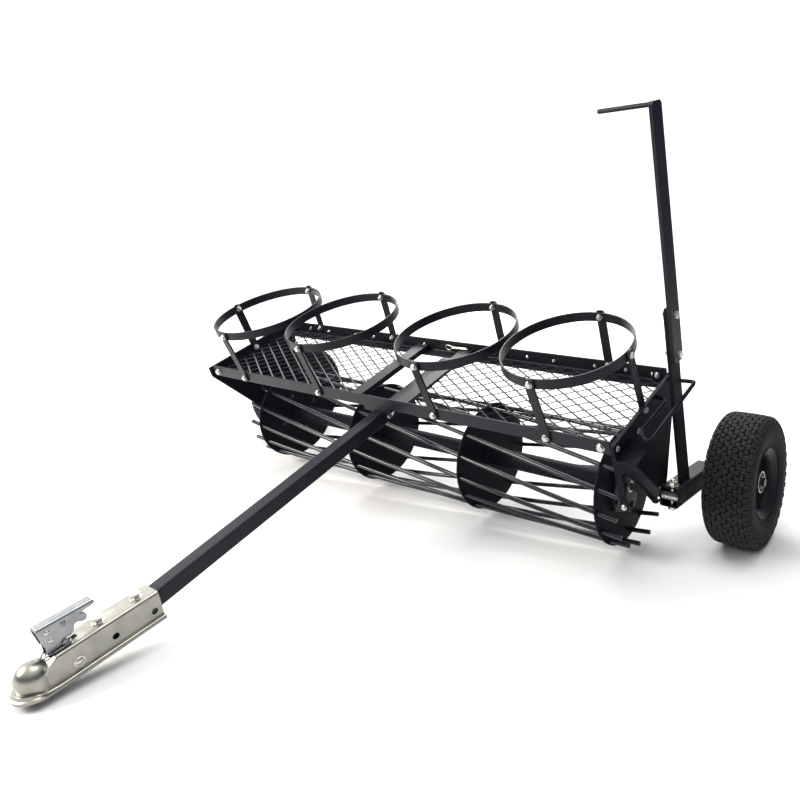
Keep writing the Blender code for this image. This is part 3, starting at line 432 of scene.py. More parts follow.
def hex_head(where, af=13.0, h=5.5, flange=9.0, stud=0.0, stud_r=4.0, turn=0.4):
    """A hex head or nut with its chamfer, on its flange or washer; stud is how far the bolt's end stands out of it."""
    half, rings = af / 2, []
    if flange:
        rings += [[(r * math.cos(2 * math.pi * k / 36), r * math.sin(2 * math.pi * k / 36), z) for k in range(36)] for r, z in ((flange - 0.3, 0.0), (flange, 0.3), (flange, 1.0), (flange - 0.5, 1.5))]
        rings += [hex_ring(half, 1.55, turn=turn)]
    else:
        rings += [hex_ring(half, 0.0, turn=turn)]
    rings += [hex_ring(half, h - 0.9, turn=turn), hex_ring(half, h - 0.35, 0.55, turn=turn), hex_ring(half * 0.96, h, 0.0, turn=turn)]
    if stud:
        rings += [[(r * math.cos(2 * math.pi * k / 36 + turn), r * math.sin(2 * math.pi * k / 36 + turn), z) for k in range(36)] for r, z in ((stud_r, h + 0.02), (stud_r, h + stud - 0.8), (stud_r - 0.8, h + stud))]
    else:
        rings += [[(r * math.cos(2 * math.pi * k / 36 + turn), r * math.sin(2 * math.pi * k / 36 + turn), z) for k in range(36)] for r, z in ((half * 0.7, h - 0.02), (half * 0.35, h + 0.02))]
    mesh = from_rings(rings)
    mesh.transform(where)
    return mesh


def bolt_through(face, direction, grip, af=13.0, h=5.5, flange=9.0, nut_h=6.5, tail=3.5, nut_flange=8.6, turn=0.4):
    """A bolt head on face and its nut grip away behind it."""
    d = Vector(direction).normalized()
    back = Vector(face) - d * grip
    return [hex_head(toward(face, d), af, h, flange, turn=turn), hex_head(toward(back, -d), af, nut_h, nut_flange, stud=tail, stud_r=3.9, turn=turn + 0.3)]


def union(first, *others):
    """Closed meshes joined by Boolean unions, one at a time."""
    return _boolean(first, others, "UNION")


def difference(first, *others):
    return _boolean(first, others, "DIFFERENCE")


def _boolean(first, others, operation):
    mesh = first
    for other in others:
        a, b = bpy.data.objects.new("a", mesh), bpy.data.objects.new("b", other)
        for o in (a, b):
            bpy.context.scene.collection.objects.link(o)
        mod = a.modifiers.new("Cut", "BOOLEAN")
        mod.operation, mod.solver, mod.object = operation, "EXACT", b
        bpy.context.view_layer.update()
        graph = bpy.context.evaluated_depsgraph_get()
        mesh = bpy.data.meshes.new_from_object(a.evaluated_get(graph), depsgraph=graph)
        bpy.data.objects.remove(a)
        bpy.data.objects.remove(b)
    bm = bmesh.new()
    bm.from_mesh(mesh)
    bmesh.ops.remove_doubles(bm, verts=bm.verts, dist=3e-6)
    bm.to_mesh(mesh)
    bm.free()
    return mesh


def softened(mesh, width, angle=32, segments=2):
    """The mesh with its sharp edges bevelled."""
    o = bpy.data.objects.new("soft", mesh)
    bpy.context.scene.collection.objects.link(o)
    mod = o.modifiers.new("Bevel", "BEVEL")
    mod.width, mod.segments, mod.limit_method, mod.angle_limit = width / 1000.0, segments, "ANGLE", math.radians(angle)
    mod.use_clamp_overlap = True
    bpy.context.view_layer.update()
    graph = bpy.context.evaluated_depsgraph_get()
    made = bpy.data.meshes.new_from_object(o.evaluated_get(graph), depsgraph=graph)
    bpy.data.objects.remove(o)
    return made


def piece(name, parts, body, nodes=(), mat=None, space=None, angle=35):
    """One object from meshes, or (mesh, material) pairs; it rides on body and stands for nodes."""
    bm = bmesh.new()
    mats = []
    for part in parts:
        mesh, m = part if isinstance(part, tuple) else (part, mat or BLACK)
        if m not in mats:
            mats.append(m)
        start = len(bm.faces)
        bm.from_mesh(mesh)
        bm.faces.ensure_lookup_table()
        for f in bm.faces[start:]:
            f.material_index = mats.index(m)
            f.smooth = True
    mesh = bpy.data.meshes.new(name)
    bm.to_mesh(mesh)
    bm.free()
    for m in mats:
        mesh.materials.append(m)
    mesh.transform(DECK @ space if space is not None else DECK)
    mesh.set_sharp_from_angle(angle=math.radians(angle))
    obj = bpy.data.objects.new(name, mesh)
    bpy.context.scene.collection.objects.link(obj)
    w = obj.modifiers.new("Normals", "WEIGHTED_NORMAL")
    w.keep_sharp = True
    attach(obj, body)
    if nodes:
        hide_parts(*nodes)
    return obj


# ---------------------------------------------------------------- deck frame
AXIS_Y, AXIS_Z = 16.0, -249.0
RING_R, RING_T, RING_H, RING_Z = 166.0, 4.5, 25.4, 152.0
RING_X = (-569.5, -221.7, 221.7, 569.5)
LEG_W, LEG_T = 25.0, 5.0
LEG_OUT = RING_R + 0.5 + LEG_T
RAIL_X, RAIL_T, FLANGE = 738.0, 3.5, 35.0
FRONT_Y, FRONT_Z0, FRONT_Z1 = -152.0, -16.0, 20.0
REAR_Y, REAR_Z0, REAR_Z1 = 163.0, -17.0, 24.0
PLATE_X, PLATE_T = 742.0, 4.0
CORNER_X = 714.0
REAR_BOLT_Z = 11.0
SIDE_BOLT_Y, SIDE_BOLT_Z = 12.0, -1.0
FOOT_TOP = FRONT_Z0 + RAIL_T + 0.3
TAB_F, TAB_R = FRONT_Y + RAIL_T + 0.3, REAR_Y - RAIL_T - 0.3
Y0, Y1 = TAB_F, TAB_R


def angle_rail(y_face, inward, z0, z1):
    foot, web = y_face + inward * FLANGE, y_face + inward * RAIL_T
    pts = [(y_face, z0), (y_face, z1), (web, z1), (web, z0 + RAIL_T), (foot, z0 + RAIL_T), (foot, z0)]
    return plate(fillet(pts, [1.6, 1.0, 1.0, 3.0, 1.2, 1.2], 5), 2 * RAIL_X, frame_at((-RAIL_X, 0, 0), Y, Z), r=0.5)


piece("front_rail_steel", [angle_rail(FRONT_Y, 1, FRONT_Z0, FRONT_Z1)], "frame", ["front_rail"])
piece("rear_rail_steel", [angle_rail(REAR_Y, -1, REAR_Z0, REAR_Z1)], "frame", ["rear_rail"])

PLATE_OUTLINE = [
    (-160.0, 14.0), (-160.0, -18.0), (-30.0, -234.0), (-21.0, -252.0), (-6.0, -265.0), (16.0, -270.0), (38.0, -265.0),
    (54.0, -252.0), (66.0, -234.0), (168.0, -50.0), (168.0, 14.0),
]
for side, label in ((-1, "left"), (1, "right")):
    x = side * PLATE_X
    lo = min(x, x + side * PLATE_T)
    web = plate(fillet(PLATE_OUTLINE, [3, 3, 20, 14, 14, 20, 14, 14, 20, 6, 3], 4), PLATE_T, frame_at((lo, 0, 0), Y, Z), holes=[circle(AXIS_Y, AXIS_Z, 16.0, 40)], r=0.7)
    a, b = sorted((side * (PLATE_X + 0.2), side * (PLATE_X + 10.0)))
    lip = plate(
        fillet([(168.0, 14.0), (-160.0, 14.0), (-160.0, -18.0), (-52.0, -197.4), (-49.2, -195.8), (-156.6, -17.2), (-156.6, 10.6), (168.0, 10.6)], [0.8, 3, 4, 0.8, 0.8, 3, 2, 0.8], 4),
        b - a, frame_at((a, 0, 0), Y, Z), r=0.8,
    )
    c, d = sorted((side * (PLATE_X - 42.0), side * (PLATE_X + 1.0)))
    tabs = [rounded_box((c, TAB_F, -11.0), (d, TAB_F + 4.0, 13.0), 0.8, "Y"), rounded_box((c, TAB_R - 4.0, -11.0), (d, TAB_R, 13.0), 0.8, "Y")]
    piece(f"end_plate_{label}_steel", [web, lip, *tabs], "frame", [f"end_plate_{label}"], mat=DEEP_BLACK)
    grip = RAIL_T + 4.3 + 0.3
    piece(
        f"corner_bolts_{label}",
        [
            *bolt_through((side * CORNER_X, FRONT_Y, 0.0), (0, -1, 0), grip, 16.0, 6.5, 10.5, turn=0.2),
            *bolt_through((side * CORNER_X, REAR_Y, 4.0), (0, 1, 0), grip, 13.0, 5.5, 9.0, turn=0.9),
        ],
        "frame", mat=ZINC,
    )

for side, label in ((-1, "left"), (1, "right")):
    x0, x1 = side * 68.0, side * 110.0
    pts = [(x0, 4.0), (x1, 4.0), (x1, 1.0), (x0 + side * 3.0, 1.0), (x0 + side * 3.0, FOOT_TOP), (x0, FOOT_TOP)]
    piece(f"mesh_beam_{label}_steel", [plate(fillet(pts, [1.5, 1.0, 1.0, 3.0, 1.0, 1.0], 4), Y1 - Y0, frame_at((0, Y1, 0), X, Z), r=0.5)], "frame", [f"mesh_beam_{label}"])

# Expanded metal: zigzag strands that meet at the knuckles, tilted in the sheet as they are slit and drawn.
LONG_WAY, SHORT_WAY, STRAND_W, STRAND_T, MESH_SKEW = 57.0, 34.4, 4.5, 2.3, 0.12


def expanded(x0, x1, y0, y1, z, anchor):
    """Strands between x0 and x1 and between y0 and y1; anchor is the place of one knuckle."""
    bm = bmesh.new()
    half, pitch, knuckle = LONG_WAY / 2, SHORT_WAY / 2, STRAND_W * 0.47
    ax, ay = anchor
    first = math.floor((ay - y1) / pitch)
    last = math.ceil((ay - y0) / pitch)
    for row in range(first, last):
        i0, i1 = math.floor((x0 - ax) / half) - 2, math.ceil((x1 - ax) / half) + 2
        path = []
        for i in range(i0, i1 + 1):
            up = (i + row) % 2 == 0
            y = ay - row * pitch - knuckle if up else ay - (row + 1) * pitch + knuckle
            x = ax + i * half + MESH_SKEW * (ay - y)
            y = min(max(y, y0), y1)
            dz = 1.1 if up else -1.1
            flat = 2.6
            path += [(x - flat, y, z + dz), (x + flat, y, z + dz)]
        clipped = []
        for p, q in zip(path, path[1:]):
            for end, other in ((p, q), (q, p)):
                if x0 <= end[0] <= x1:
                    if not clipped or (Vector(clipped[-1]) - Vector(end)).length > 1e-6:
                        clipped.append(end)
                elif x0 < other[0] < x1:
                    edge = x0 if end[0] < x0 else x1
                    f = (edge - end[0]) / (other[0] - end[0])
                    clipped.append(tuple(u + (v - u) * f for u, v in zip(end, other)))
        clipped.sort(key=lambda p: p[0])
        path = [clipped[0]]
        for p in clipped[1:]:
            if p[0] - path[-1][0] > 0.05:
                path.append(p)
        tilt = math.radians(MESH_TILT)
        rings = []
        for k, p in enumerate(path):
            a, b = Vector(path[max(0, k - 1)]), Vector(path[min(len(path) - 1, k + 1)])
            t = (b - a).normalized()
            flatwise = t.cross(Vector(Z)).normalized()
            up = flatwise.cross(t)
            u = flatwise * math.cos(tilt) + up * math.sin(tilt)
            v = -flatwise * math.sin(tilt) + up * math.cos(tilt)
            w, h, c = STRAND_W / 2, STRAND_T / 2, 0.4
            ring = [Vector(p) + u * (sx * (w - cx)) + v * (sy * (h - cy)) for sx, sy, cx, cy in (
                (1, 1, c, 0), (-1, 1, c, 0), (-1, 1, 0, c), (-1, -1, 0, c), (-1, -1, c, 0), (1, -1, c, 0), (1, -1, 0, c), (1, 1, 0, c))]
            rings.append([bm.verts.new(mm(q)) for q in ring])
        for a, b in zip(rings, rings[1:]):
            for i in range(8):
                bm.faces.new((a[i], a[(i + 1) % 8], b[(i + 1) % 8], b[i]))
        bm.faces.new(rings[0][::-1])
        bm.faces.new(rings[-1])
    bmesh.ops.recalc_face_normals(bm, faces=bm.faces)
    mesh = bpy.data.meshes.new("expanded")
    bm.to_mesh(mesh)
    bm.free()
    return mesh


MESH_TILT = 32.0
for side, label, anchor in ((-1, "left", (-560.0, 86.0)), (1, "right", (581.0, 86.4))):
    x0, x1 = sorted((side * 73.0, side * (PLATE_X - 6.0)))
    piece(f"expanded_mesh_{label}", [expanded(x0, x1, Y0 + 9.0, Y1 - 9.0, FOOT_TOP + 1.9, anchor)], "frame", [f"mesh_panel_{label}"])

# Small screws that hold the mesh along the rear rail.
screws = []
for k, x in enumerate((85.0, 190.0, 308.0, 397.0, 528.0, 622.0, 698.0)):
    for s in (-1, 1):
        screws.append(hex_head(toward((s * x, REAR_Y - RAIL_T, 2.0 + (k % 3)), (0, -1, 0)), 8.0, 3.6, 6.0, stud=3.0, stud_r=2.4, turn=0.5 * k))
        screws.append(hex_head(toward((s * x, REAR_Y, 2.0 + (k % 3)), (0, 1, 0)), 8.0, 3.6, 6.0, turn=0.7 * k))
piece("mesh_screws", screws, "frame", mat=ZINC)

# ---------------------------------------------------------------- bucket rings, legs and their bolts
grip_low = LEG_T + 0.3 + RAIL_T
grip_top = LEG_T + 0.5 + RING_T
leg_bolts = []
for index, rx in enumerate(RING_X):
    n = index + 1
    profile = fillet([(RING_R - RING_T, RING_Z - RING_H / 2), (RING_R, RING_Z - RING_H / 2), (RING_R, RING_Z + RING_H / 2), (RING_R - RING_T, RING_Z + RING_H / 2)], 1.3, 4)
    piece(f"bucket_ring_{n}_strip", [lathe(profile, 144, Matrix.Translation(mm((rx, 0, 0))), closed=True)], "frame", [f"bucket_ring_{n}"])
    for name, side, low, z0, b0, b1, z1, bolt_z in (
        ("front", -1, FRONT_Y - 0.3 - LEG_T / 2, -14.0, 22.0, 136.0, 166.0, 0.0),
        ("rear", 1, REAR_Y + 0.3 + LEG_T / 2, -4.0, 28.0, 136.0, 169.0, REAR_BOLT_Z),
    ):
        high = side * (LEG_OUT - LEG_T / 2)
        path = rounded_path([(rx, low, z0), (rx, low, b0), (rx, high, b1), (rx, high, z1)], 14, 6)
        piece(f"{name}_leg_{n}_bar", [strip(path, X, LEG_W, LEG_T)], "frame", [f"{name}_leg_{n}"])
        leg_bolts += bolt_through((rx, low + side * LEG_T / 2, bolt_z), (0, side, 0), grip_low, turn=0.3 + 0.9 * n)
        leg_bolts += bolt_through((rx, side * LEG_OUT, RING_Z), (0, side, 0), grip_top, turn=0.8 + 0.7 * n)
piece("leg_bolts", leg_bolts, "frame", mat=ZINC)

for side, rx, label in ((-1, RING_X[0], "left"), (1, RING_X[3], "right")):
    low = side * (PLATE_X - 0.3 - LEG_T / 2)
    high = rx + side * (LEG_OUT - LEG_T / 2)
    lean = math.atan2(SIDE_BOLT_Y, RING_Z - SIDE_BOLT_Z)
    turn = Matrix.Translation(mm((0, 0, RING_Z))) @ Matrix.Rotation(lean, 4, "X") @ Matrix.Translation(mm((0, 0, -RING_Z)))
    path = rounded_path([(low, 0, -14.0), (low, 0, 30.0), (high, 0, 136.0), (high, 0, 166.0)], 14, 6)
    bar = strip(path, Y, LEG_W, LEG_T)
    bar.transform(turn)
    piece(f"side_leg_{label}_bar", [bar], "frame", [f"side_leg_{label}"])
    piece(
        f"side_leg_{label}_bolts",
        [
            *bolt_through((side * (PLATE_X + PLATE_T), SIDE_BOLT_Y, SIDE_BOLT_Z), (side, 0, 0), PLATE_T + 0.3 + LEG_T, turn=0.2),
            *bolt_through((rx + side * LEG_OUT, 0, RING_Z), (side, 0, 0), grip_top, turn=0.6),
        ],
        "frame", mat=ZINC,
    )

# ---------------------------------------------------------------- drawbar and its saddle
TUBE, TONGUE_Z, TONGUE_Y0, TONGUE_Y1 = 38.0, -32.0, -925.0, 150.0
outer = fillet([(-TUBE / 2, TONGUE_Z), (TUBE / 2, TONGUE_Z), (TUBE / 2, TONGUE_Z - TUBE), (-TUBE / 2, TONGUE_Z - TUBE)], 4.5, 6)
inner = fillet([(-TUBE / 2 + 3, TONGUE_Z - 3), (TUBE / 2 - 3, TONGUE_Z - 3), (TUBE / 2 - 3, TONGUE_Z - TUBE + 3), (-TUBE / 2 + 3, TONGUE_Z - TUBE + 3)], 2.0, 4)
piece("drawbar_tube_steel", [plate(outer, TONGUE_Y1 - TONGUE_Y0, frame_at((0, TONGUE_Y1, 0), X, Z), holes=[inner], r=0.5)], "frame", ["drawbar_tube"])

e0, e1 = TUBE / 2 + 0.3, TUBE / 2 + 4.3
saddle = [rounded_box((-50.0, -150.0, TONGUE_Z + 0.3), (50.0, -114.0, FRONT_Z0 - 0.3), 1.5, "Z", 4)]
for s in (-1, 1):
    a, b = sorted((s * e0, s * e1))
    saddle.append(plate(fillet([(-150.0, TONGUE_Z + 3), (-150.0, TONGUE_Z - 30.0), (-114.0, TONGUE_Z - 30.0), (-114.0, TONGUE_Z + 3)], [1, 8, 8, 1]), b - a, frame_at((a, 0, 0), Y, Z), r=0.8))
piece("drawbar_saddle_steel", saddle, "frame", ["drawbar_saddle"])
piece(
    "saddle_bolts",
    [hex_head(toward((x, -132.0, TONGUE_Z + 0.3), (0, 0, -1)), 13, 6.5, 8.6, stud=6, stud_r=4, turn=0.3) for x in (-38.0, 38.0)]
    + [hex_head(toward((s * e1, -132.0, TONGUE_Z - 19.0), (s, 0, 0)), 13, 5.5, 8.6, turn=0.5) for s in (-1, 1)],
    "frame", mat=ZINC,
)

# ---------------------------------------------------------------- ball coupler
COUPLER = Matrix.Translation(mm((0, -811.0, -28.5))) @ Matrix.Rotation(-math.radians(7.9), 4, "X")
H, BALL_Y, DOME_R = 64.0, -226.0, 30.0
section = fillet([(-27.0, -H + 2), (-27.0, 0.0), (27.0, 0.0), (27.0, -H + 2)], [0, 6.5, 6.5, 0], 6)
channel = plate(section, 216.0, frame_at((0, 0, 0), X, Z), r=0.4)
profile_cut = plate(
    fillet([(2.0, 2.0), (2.0, -H + 4.0), (-184.0, -H + 4.0), (BALL_Y + 8.0, -H + 12.0), (BALL_Y + 8.0, -22.0), (BALL_Y + 24.0, -8.0), (-187.0, 0.0), (-182.0, 2.0)], [0, 0, 0, 0, 3, 16, 8, 0], 6),
    80.0, frame_at((-40.0, 0, 0), Y, Z), r=0.1,
)
pocket = plate(fillet([(-214.0, 6.0), (-214.0, -9.0), (-200.0, -3.5), (-186.0, -2.0), (-154.0, -2.0), (-144.0, 1.4), (-141.0, 6.0)], [0, 0, 8, 10, 8, 3, 0], 5), 37.0, frame_at((-18.5, 0, 0), Y, Z), r=0.4)
body = difference(_boolean(channel, [profile_cut], "INTERSECT"), pocket)
dome = lathe(
    [(0.0, 3.0), *[(DOME_R * math.sin(math.radians(a)), -27.0 + DOME_R * math.cos(math.radians(a))) for a in range(6, 91, 6)], (DOME_R, -36.0), (DOME_R, -H + 16.0), (0.0, -H + 16.0)],
    72, Matrix.Translation(mm((0, BALL_Y, 0))),
)
body = union(body, dome)


# The lip is a rolled bead along the sides; around the nose it flares and climbs.
BEAD = [(-2.0, -56.0)] + [(3.2 + 5.4 * math.cos(math.radians(a)), -58.4 + 5.4 * math.sin(math.radians(a))) for a in (138, 112, 86, 60, 34, 8, -20, -50, -80)] + [(-2.0, -H + 0.4)]
FLARE = [(-2.0, -40.5), (-0.6, -40.2), (1.6, -39.4), (5.2, -39.6), (6.3, -41.2), (6.5, -46.2), (9.2, -47.4), (10.0, -49.4), (9.9, -54.0), (8.6, -55.4), (-2.0, -55.4)]


def lip_ring(x, y, nx, ny, flare):
    """Section of the rolled lip at a point of the wall: nx, ny points outward."""
    t = flare * flare * (3 - 2 * flare)
    return [(x + nx * (u0 + (u1 - u0) * t), y + ny * (u0 + (u1 - u0) * t), v0 + (v1 - v0) * t) for (u0, v0), (u1, v1) in zip(BEAD, FLARE)]


rings = []
side_flare = ((-0.5, 0.0), (-40, 0.0), (-80, 0.0), (-120, 0.0), (-160, 0.0), (-185, 0.04), (-198, 0.14), (-210, 0.26), (-220, 0.37))
for y, f in side_flare:
    rings.append(lip_ring(27.0 + 3.0 * f / 0.44, y, 1, 0, f))
for a in range(0, 181, 6):
    w = math.radians(a)
    rings.append(lip_ring(DOME_R * math.cos(w), BALL_Y - DOME_R * math.sin(w), math.cos(w), -math.sin(w), min(1.0, 0.44 + 0.56 * min(a, 180 - a) / 40.0)))
for y, f in reversed(side_flare):
    rings.append(lip_ring(-27.0 - 3.0 * f / 0.44, y, -1, 0, f))
lip = from_rings(rings)
cavity = plate(
    fillet([(6.0, -3.0), (6.0, -H - 5.0), (BALL_Y + 12.0, -H - 5.0), (BALL_Y + 12.0, -30.0), (BALL_Y + 28.0, -27.0), (-181.0, -7.6), (-149.0, -7.6), (-139.0, -3.0)], [0, 0, 0, 3, 8, 10, 8, 6], 4),
    48.0, frame_at((-24.0, 0, 0), Y, Z), r=2.5,
)
cup_r = DOME_R - 3.5
cup = lathe(
    [(0.0, -0.5), *[(cup_r * math.sin(math.radians(a)), -27.0 + cup_r * math.cos(math.radians(a))) for a in range(8, 91, 8)], (cup_r, -45.0), (cup_r, -H - 5.0), (0.0, -H - 5.0)],
    48, Matrix.Translation(mm((0, BALL_Y, 0))),
)
body = difference(body, cavity, cup)
slot_cut = plate(fillet([(-6.5, -172.0), (6.5, -172.0), (6.5, -144.0), (-6.5, -144.0)], 3, 4), 16.0, frame_at((0, 0, -12.0), X, Y), r=0.1)
body = difference(body, slot_cut)
for y, z, r in ((-15.8, -36.6, 6.4), (-92.6, -34.9, 6.4)):
    body = difference(body, lathe([(0.0, 40.0), (r, 40.0), (r, 12.0), (0.0, 12.0)], 32, outward_x(1, 0, y, z)))
body = softened(body, 0.7, 40)
liner = rounded_box((21.6, -46.0, -57.0), (23.2, -3.0, -9.0), 0.5, "X", 3)
piece("coupler_shell", [body, lip, (liner, DARK_STEEL)], "frame", ["coupler_body"], COUPLER_ZINC, COUPLER, 38)

for y, label in ((-31.0, "rear"), (-104.0, "front")):
    piece(
        f"coupler_bolt_{label}_set",
        [
            lathe([(0.0, 0.8), (12.0, 0.8), (12.4, 0.5), (12.4, 0.05), (0.0, 0.05)], 40, Matrix.Translation(mm((0, y, 0)))),
            hex_head(Matrix.Translation(mm((0, y, 0.8))), 18.0, 9.0, 0, turn=0.35),
            lathe([(0.0, -0.5), (5.2, -0.5), (5.2, -48.0), (0.0, -48.0)], 20, Matrix.Translation(mm((0, y, 0)))),
        ],
        "frame", [f"coupler_bolt_{label}"], ZINC, COUPLER,
    )
CLAMP_PIN = (0.0, -160.0, -37.0)
dome_head = [(0.0, 3.4), (2.6, 3.2), (5.2, 2.4), (7.0, 1.2), (7.8, 0.2), (7.8, 0.0), (0.0, 0.0)]
piece(
    "clamp_pin_rivet",
    [lathe(dome_head, 32, outward_x(s, 27.1, *CLAMP_PIN[1:])) for s in (-1, 1)]
    + [lathe([(0.0, 0.7), (9.4, 0.7), (9.8, 0.4), (9.8, 0.0), (0.0, 0.0)], 32, outward_x(s, 27.0, *CLAMP_PIN[1:])) for s in (-1, 1)]
    + [lathe([(0.0, 27.0), (5.0, 27.0), (5.0, -27.0), (0.0, -27.0)], 20, outward_x(1, 0, *CLAMP_PIN[1:]))],
    "frame", ["clamp_pin"], ZINC, COUPLER,
)

# Latch: base bracket on the coupler, handle with its rivets, trigger, and the clamp inside.
LATCH_PIVOT, TRIGGER_PIVOT = (0.0, -186.0, 26.0), (0.0, -161.5, 44.5)
base = [plate(fillet([(-12.5, -196.0), (12.5, -196.0), (13.5, -186.0), (13.5, -170.0), (9.0, -157.0), (-9.0, -157.0), (-13.5, -170.0), (-13.5, -186.0)], [6, 6, 8, 8, 6, 6, 8, 8], 5), 1.8, frame_at((0, 0, -2.2), X, Y), r=0.3)]
for s in (-1, 1):
    a, b = sorted((s * 7.2, s * 10.0))
    base.append(plate(fillet([(-197.0, -4.0), (-196.0, 29.0), (-190.0, 33.0), (-182.0, 33.0), (-176.0, 29.0), (-172.0, 15.0), (-162.0, 12.0), (-157.5, -2.0)], [1, 5, 4, 4, 5, 5, 5, 1], 5), b - a, frame_at((a, 0, 0), Y, Z), r=0.5))
    base.append(sweep(rounded_path([(s * 2.0, -205.5, -5.0), (s * 8.0, -201.0, -2.0), (s * 14.5, -188.0, 0.3), (s * 15.0, -172.0, 0.3), (s * 11.0, -159.5, 0.1), (s * 2.0, -154.5, -0.4)], 9, 5), 1.6, 10, 0.4))
    base.append(hex_head(outward_x(s, 10.05, -167.4, 7.0), 8.6, 3.6, 0, stud=1.2, stud_r=2.4, turn=0.3))
piece("latch_bracket", base, "frame", (), LATCH_ZINC, COUPLER)

wall = [
    (-198.0, 18.0), (-204.0, 55.0), (-202.0, 60.0), (-198.5, 61.4), (-112.0, 57.2), (-104.8, 53.6), (-104.0, 49.5), (-106.0, 46.0),
    (-131.0, 44.5), (-147.0, 40.0), (-156.0, 33.0), (-160.0, 24.0), (-162.0, 16.2), (-187.0, 16.2),
]
# The top of the handle is one rounded channel, sloping down to the tail; the outline cuts its walls.
down_back = Vector((0, 86.5, -4.2)).normalized()
block = plate(fillet([(-13.0, -75.0), (-13.0, 0.0), (13.0, 0.0), (13.0, -75.0)], [0, 6.0, 6.0, 0], 8), 115.0, frame_at((0, -98.0, 55.3), X, (0, -down_back.z, down_back.y)), r=0.1)
shell = _boolean(block, [plate(fillet(wall, [2, 3, 3, 3, 8, 5, 3, 3, 10, 10, 8, 6, 3, 6], 4), 40.0, frame_at((-20.0, 0, 0), Y, Z), r=0.1)], "INTERSECT")
hollow = plate([(-214.0, -2.0), (-214.0, 48.0), (-203.0, 55.6), (-199.0, 57.6), (-118.0, 53.6), (-113.0, 50.4), (-113.0, -2.0)], 20.8, frame_at((-10.4, 0, 0), Y, Z), r=1.2, steps=2)
shell = softened(difference(shell, hollow), 0.45, 50)
small_head = [(0.0, 2.4), (2.2, 2.2), (3.8, 1.5), (4.8, 0.3), (4.8, 0.0), (0.0, 0.0)]
pin_bar = [(0.0, 13.0), (3.0, 13.0), (3.0, -13.0), (0.0, -13.0)]
rivets = lambda y, z: [lathe(small_head, 24, outward_x(s, 13.05, y, z)) for s in (-1, 1)]
piece("latch_handle_shell", [shell], "latch", ["latch_handle"], LATCH_ZINC, COUPLER)
piece("latch_pin_rivet", [*rivets(*LATCH_PIVOT[1:]), lathe(pin_bar, 16, outward_x(1, 0, *LATCH_PIVOT[1:]))], "frame", ["latch_pin"], ZINC, COUPLER)
piece("latch_rivets", [*rivets(-188.5, 44.1), lathe(pin_bar, 16, outward_x(1, 0, -188.5, 44.1))], "latch", (), ZINC, COUPLER)
trigger = plate(
    fillet([
        (-164.0, 12.0), (-167.0, 26.0), (-168.5, 46.0), (-163.0, 51.0), (-156.0, 51.0), (-148.0, 47.0), (-135.0, 42.0), (-126.0, 40.0), (-121.0, 35.0), (-120.0, 28.0),
        (-124.5, 22.0), (-131.0, 23.0), (-138.0, 28.0), (-144.0, 26.0), (-147.0, 17.0), (-153.0, 11.0),
    ], [4, 6, 3, 3, 3, 5, 8, 5, 5, 5, 4, 5, 5, 5, 6, 4], 4),
    18.0, frame_at((-9.0, 0, 0), Y, Z), r=1.6, steps=2,
)
piece("latch_trigger_piece", [trigger, *rivets(*TRIGGER_PIVOT[1:]), lathe(pin_bar, 16, outward_x(1, 0, *TRIGGER_PIVOT[1:]))], "trigger", ["latch_trigger"], LATCH_ZINC, COUPLER)
clamp = plate(fillet([(-201.0, -50.0), (-201.0, -60.0), (-190.0, -60.0), (-174.0, -50.0), (-152.0, -48.0), (-148.0, -38.0), (-152.0, -28.0), (-166.0, -26.0), (-178.0, -34.0), (-192.0, -50.0)], 2.5, 3), 16.0, frame_at((-8.0, 0, 0), Y, Z), r=0.8)
piece("ball_clamp_jaw", [clamp], "clamp", ["ball_clamp"], LATCH_ZINC, COUPLER)

# ---------------------------------------------------------------- roller
SHAFT_R, CORE_R, CORE_IN = 10.0, 25.0, 21.5
DISC_R, DISC_T, DISC_X = 150.0, 5.0, (-643.0, -214.5, 214.5, 643.0)
ROD_R, ROD_CIRCLE, ROD_COUNT, ROD_X = 6.0, 139.5, 15, 697.0
ROD_TWIST, ROD_PHASE = 1.14 / 1.11 / 1000.0, 13.0
BEARING_BOLTS = (5, 95, 185, 275)

cage = []
for dx in DISC_X:
    inner_disc = abs(dx) < 400.0
    cage.append(plate(circle(AXIS_Y, AXIS_Z, DISC_R, 128), DISC_T, frame_at((dx - DISC_T / 2, 0, 0), Y, Z), holes=[circle(AXIS_Y, AXIS_Z, CORE_R + 0.1 if inner_disc else 18.0, 48)], r=0.9))


def rod_at(k, x):
    a = math.radians(ROD_PHASE) + 2 * math.pi * k / ROD_COUNT + ROD_TWIST * x
    return Vector((x, AXIS_Y + ROD_CIRCLE * math.cos(a), AXIS_Z + ROD_CIRCLE * math.sin(a)))


for k in range(ROD_COUNT):
    cage.append((sweep([rod_at(k, -ROD_X + 2 * ROD_X * s / 48) for s in range(49)], ROD_R, 14, 0.9), ROD_BLACK))
    for dx in DISC_X:
        for s in (-1, 1):
            at = rod_at(k, dx + s * DISC_T / 2)
            along = rod_at(k, dx + s * 30) - rod_at(k, dx + s * 2)
            bead = [(ROD_R - 0.4, 3.2), (ROD_R + 0.5, 2.8), (ROD_R + 1.7, 1.6), (ROD_R + 2.5, 0.4), (ROD_R + 2.7, -0.6), (ROD_R - 0.4, -0.6)]
            cage.append(lathe(bead, 16, toward(at, along), closed=True))
for dx in DISC_X[1:3]:
    for s in (-1, 1):
        bead = [(CORE_R - 0.3, 4.0), (CORE_R + 1.2, 3.3), (CORE_R + 3.0, 1.6), (CORE_R + 3.8, -0.4), (CORE_R - 0.3, -0.4)]
        cage.append(lathe(bead, 48, outward_x(s, abs(dx + s * DISC_T / 2) if (dx > 0) == (s > 0) else -abs(dx + s * DISC_T / 2), AXIS_Y, AXIS_Z), closed=True))
piece("roller_cage_welded", cage, "roller", ["roller_cage"], mat=DEEP_BLACK)
core_x = DISC_X[3] - 3.0
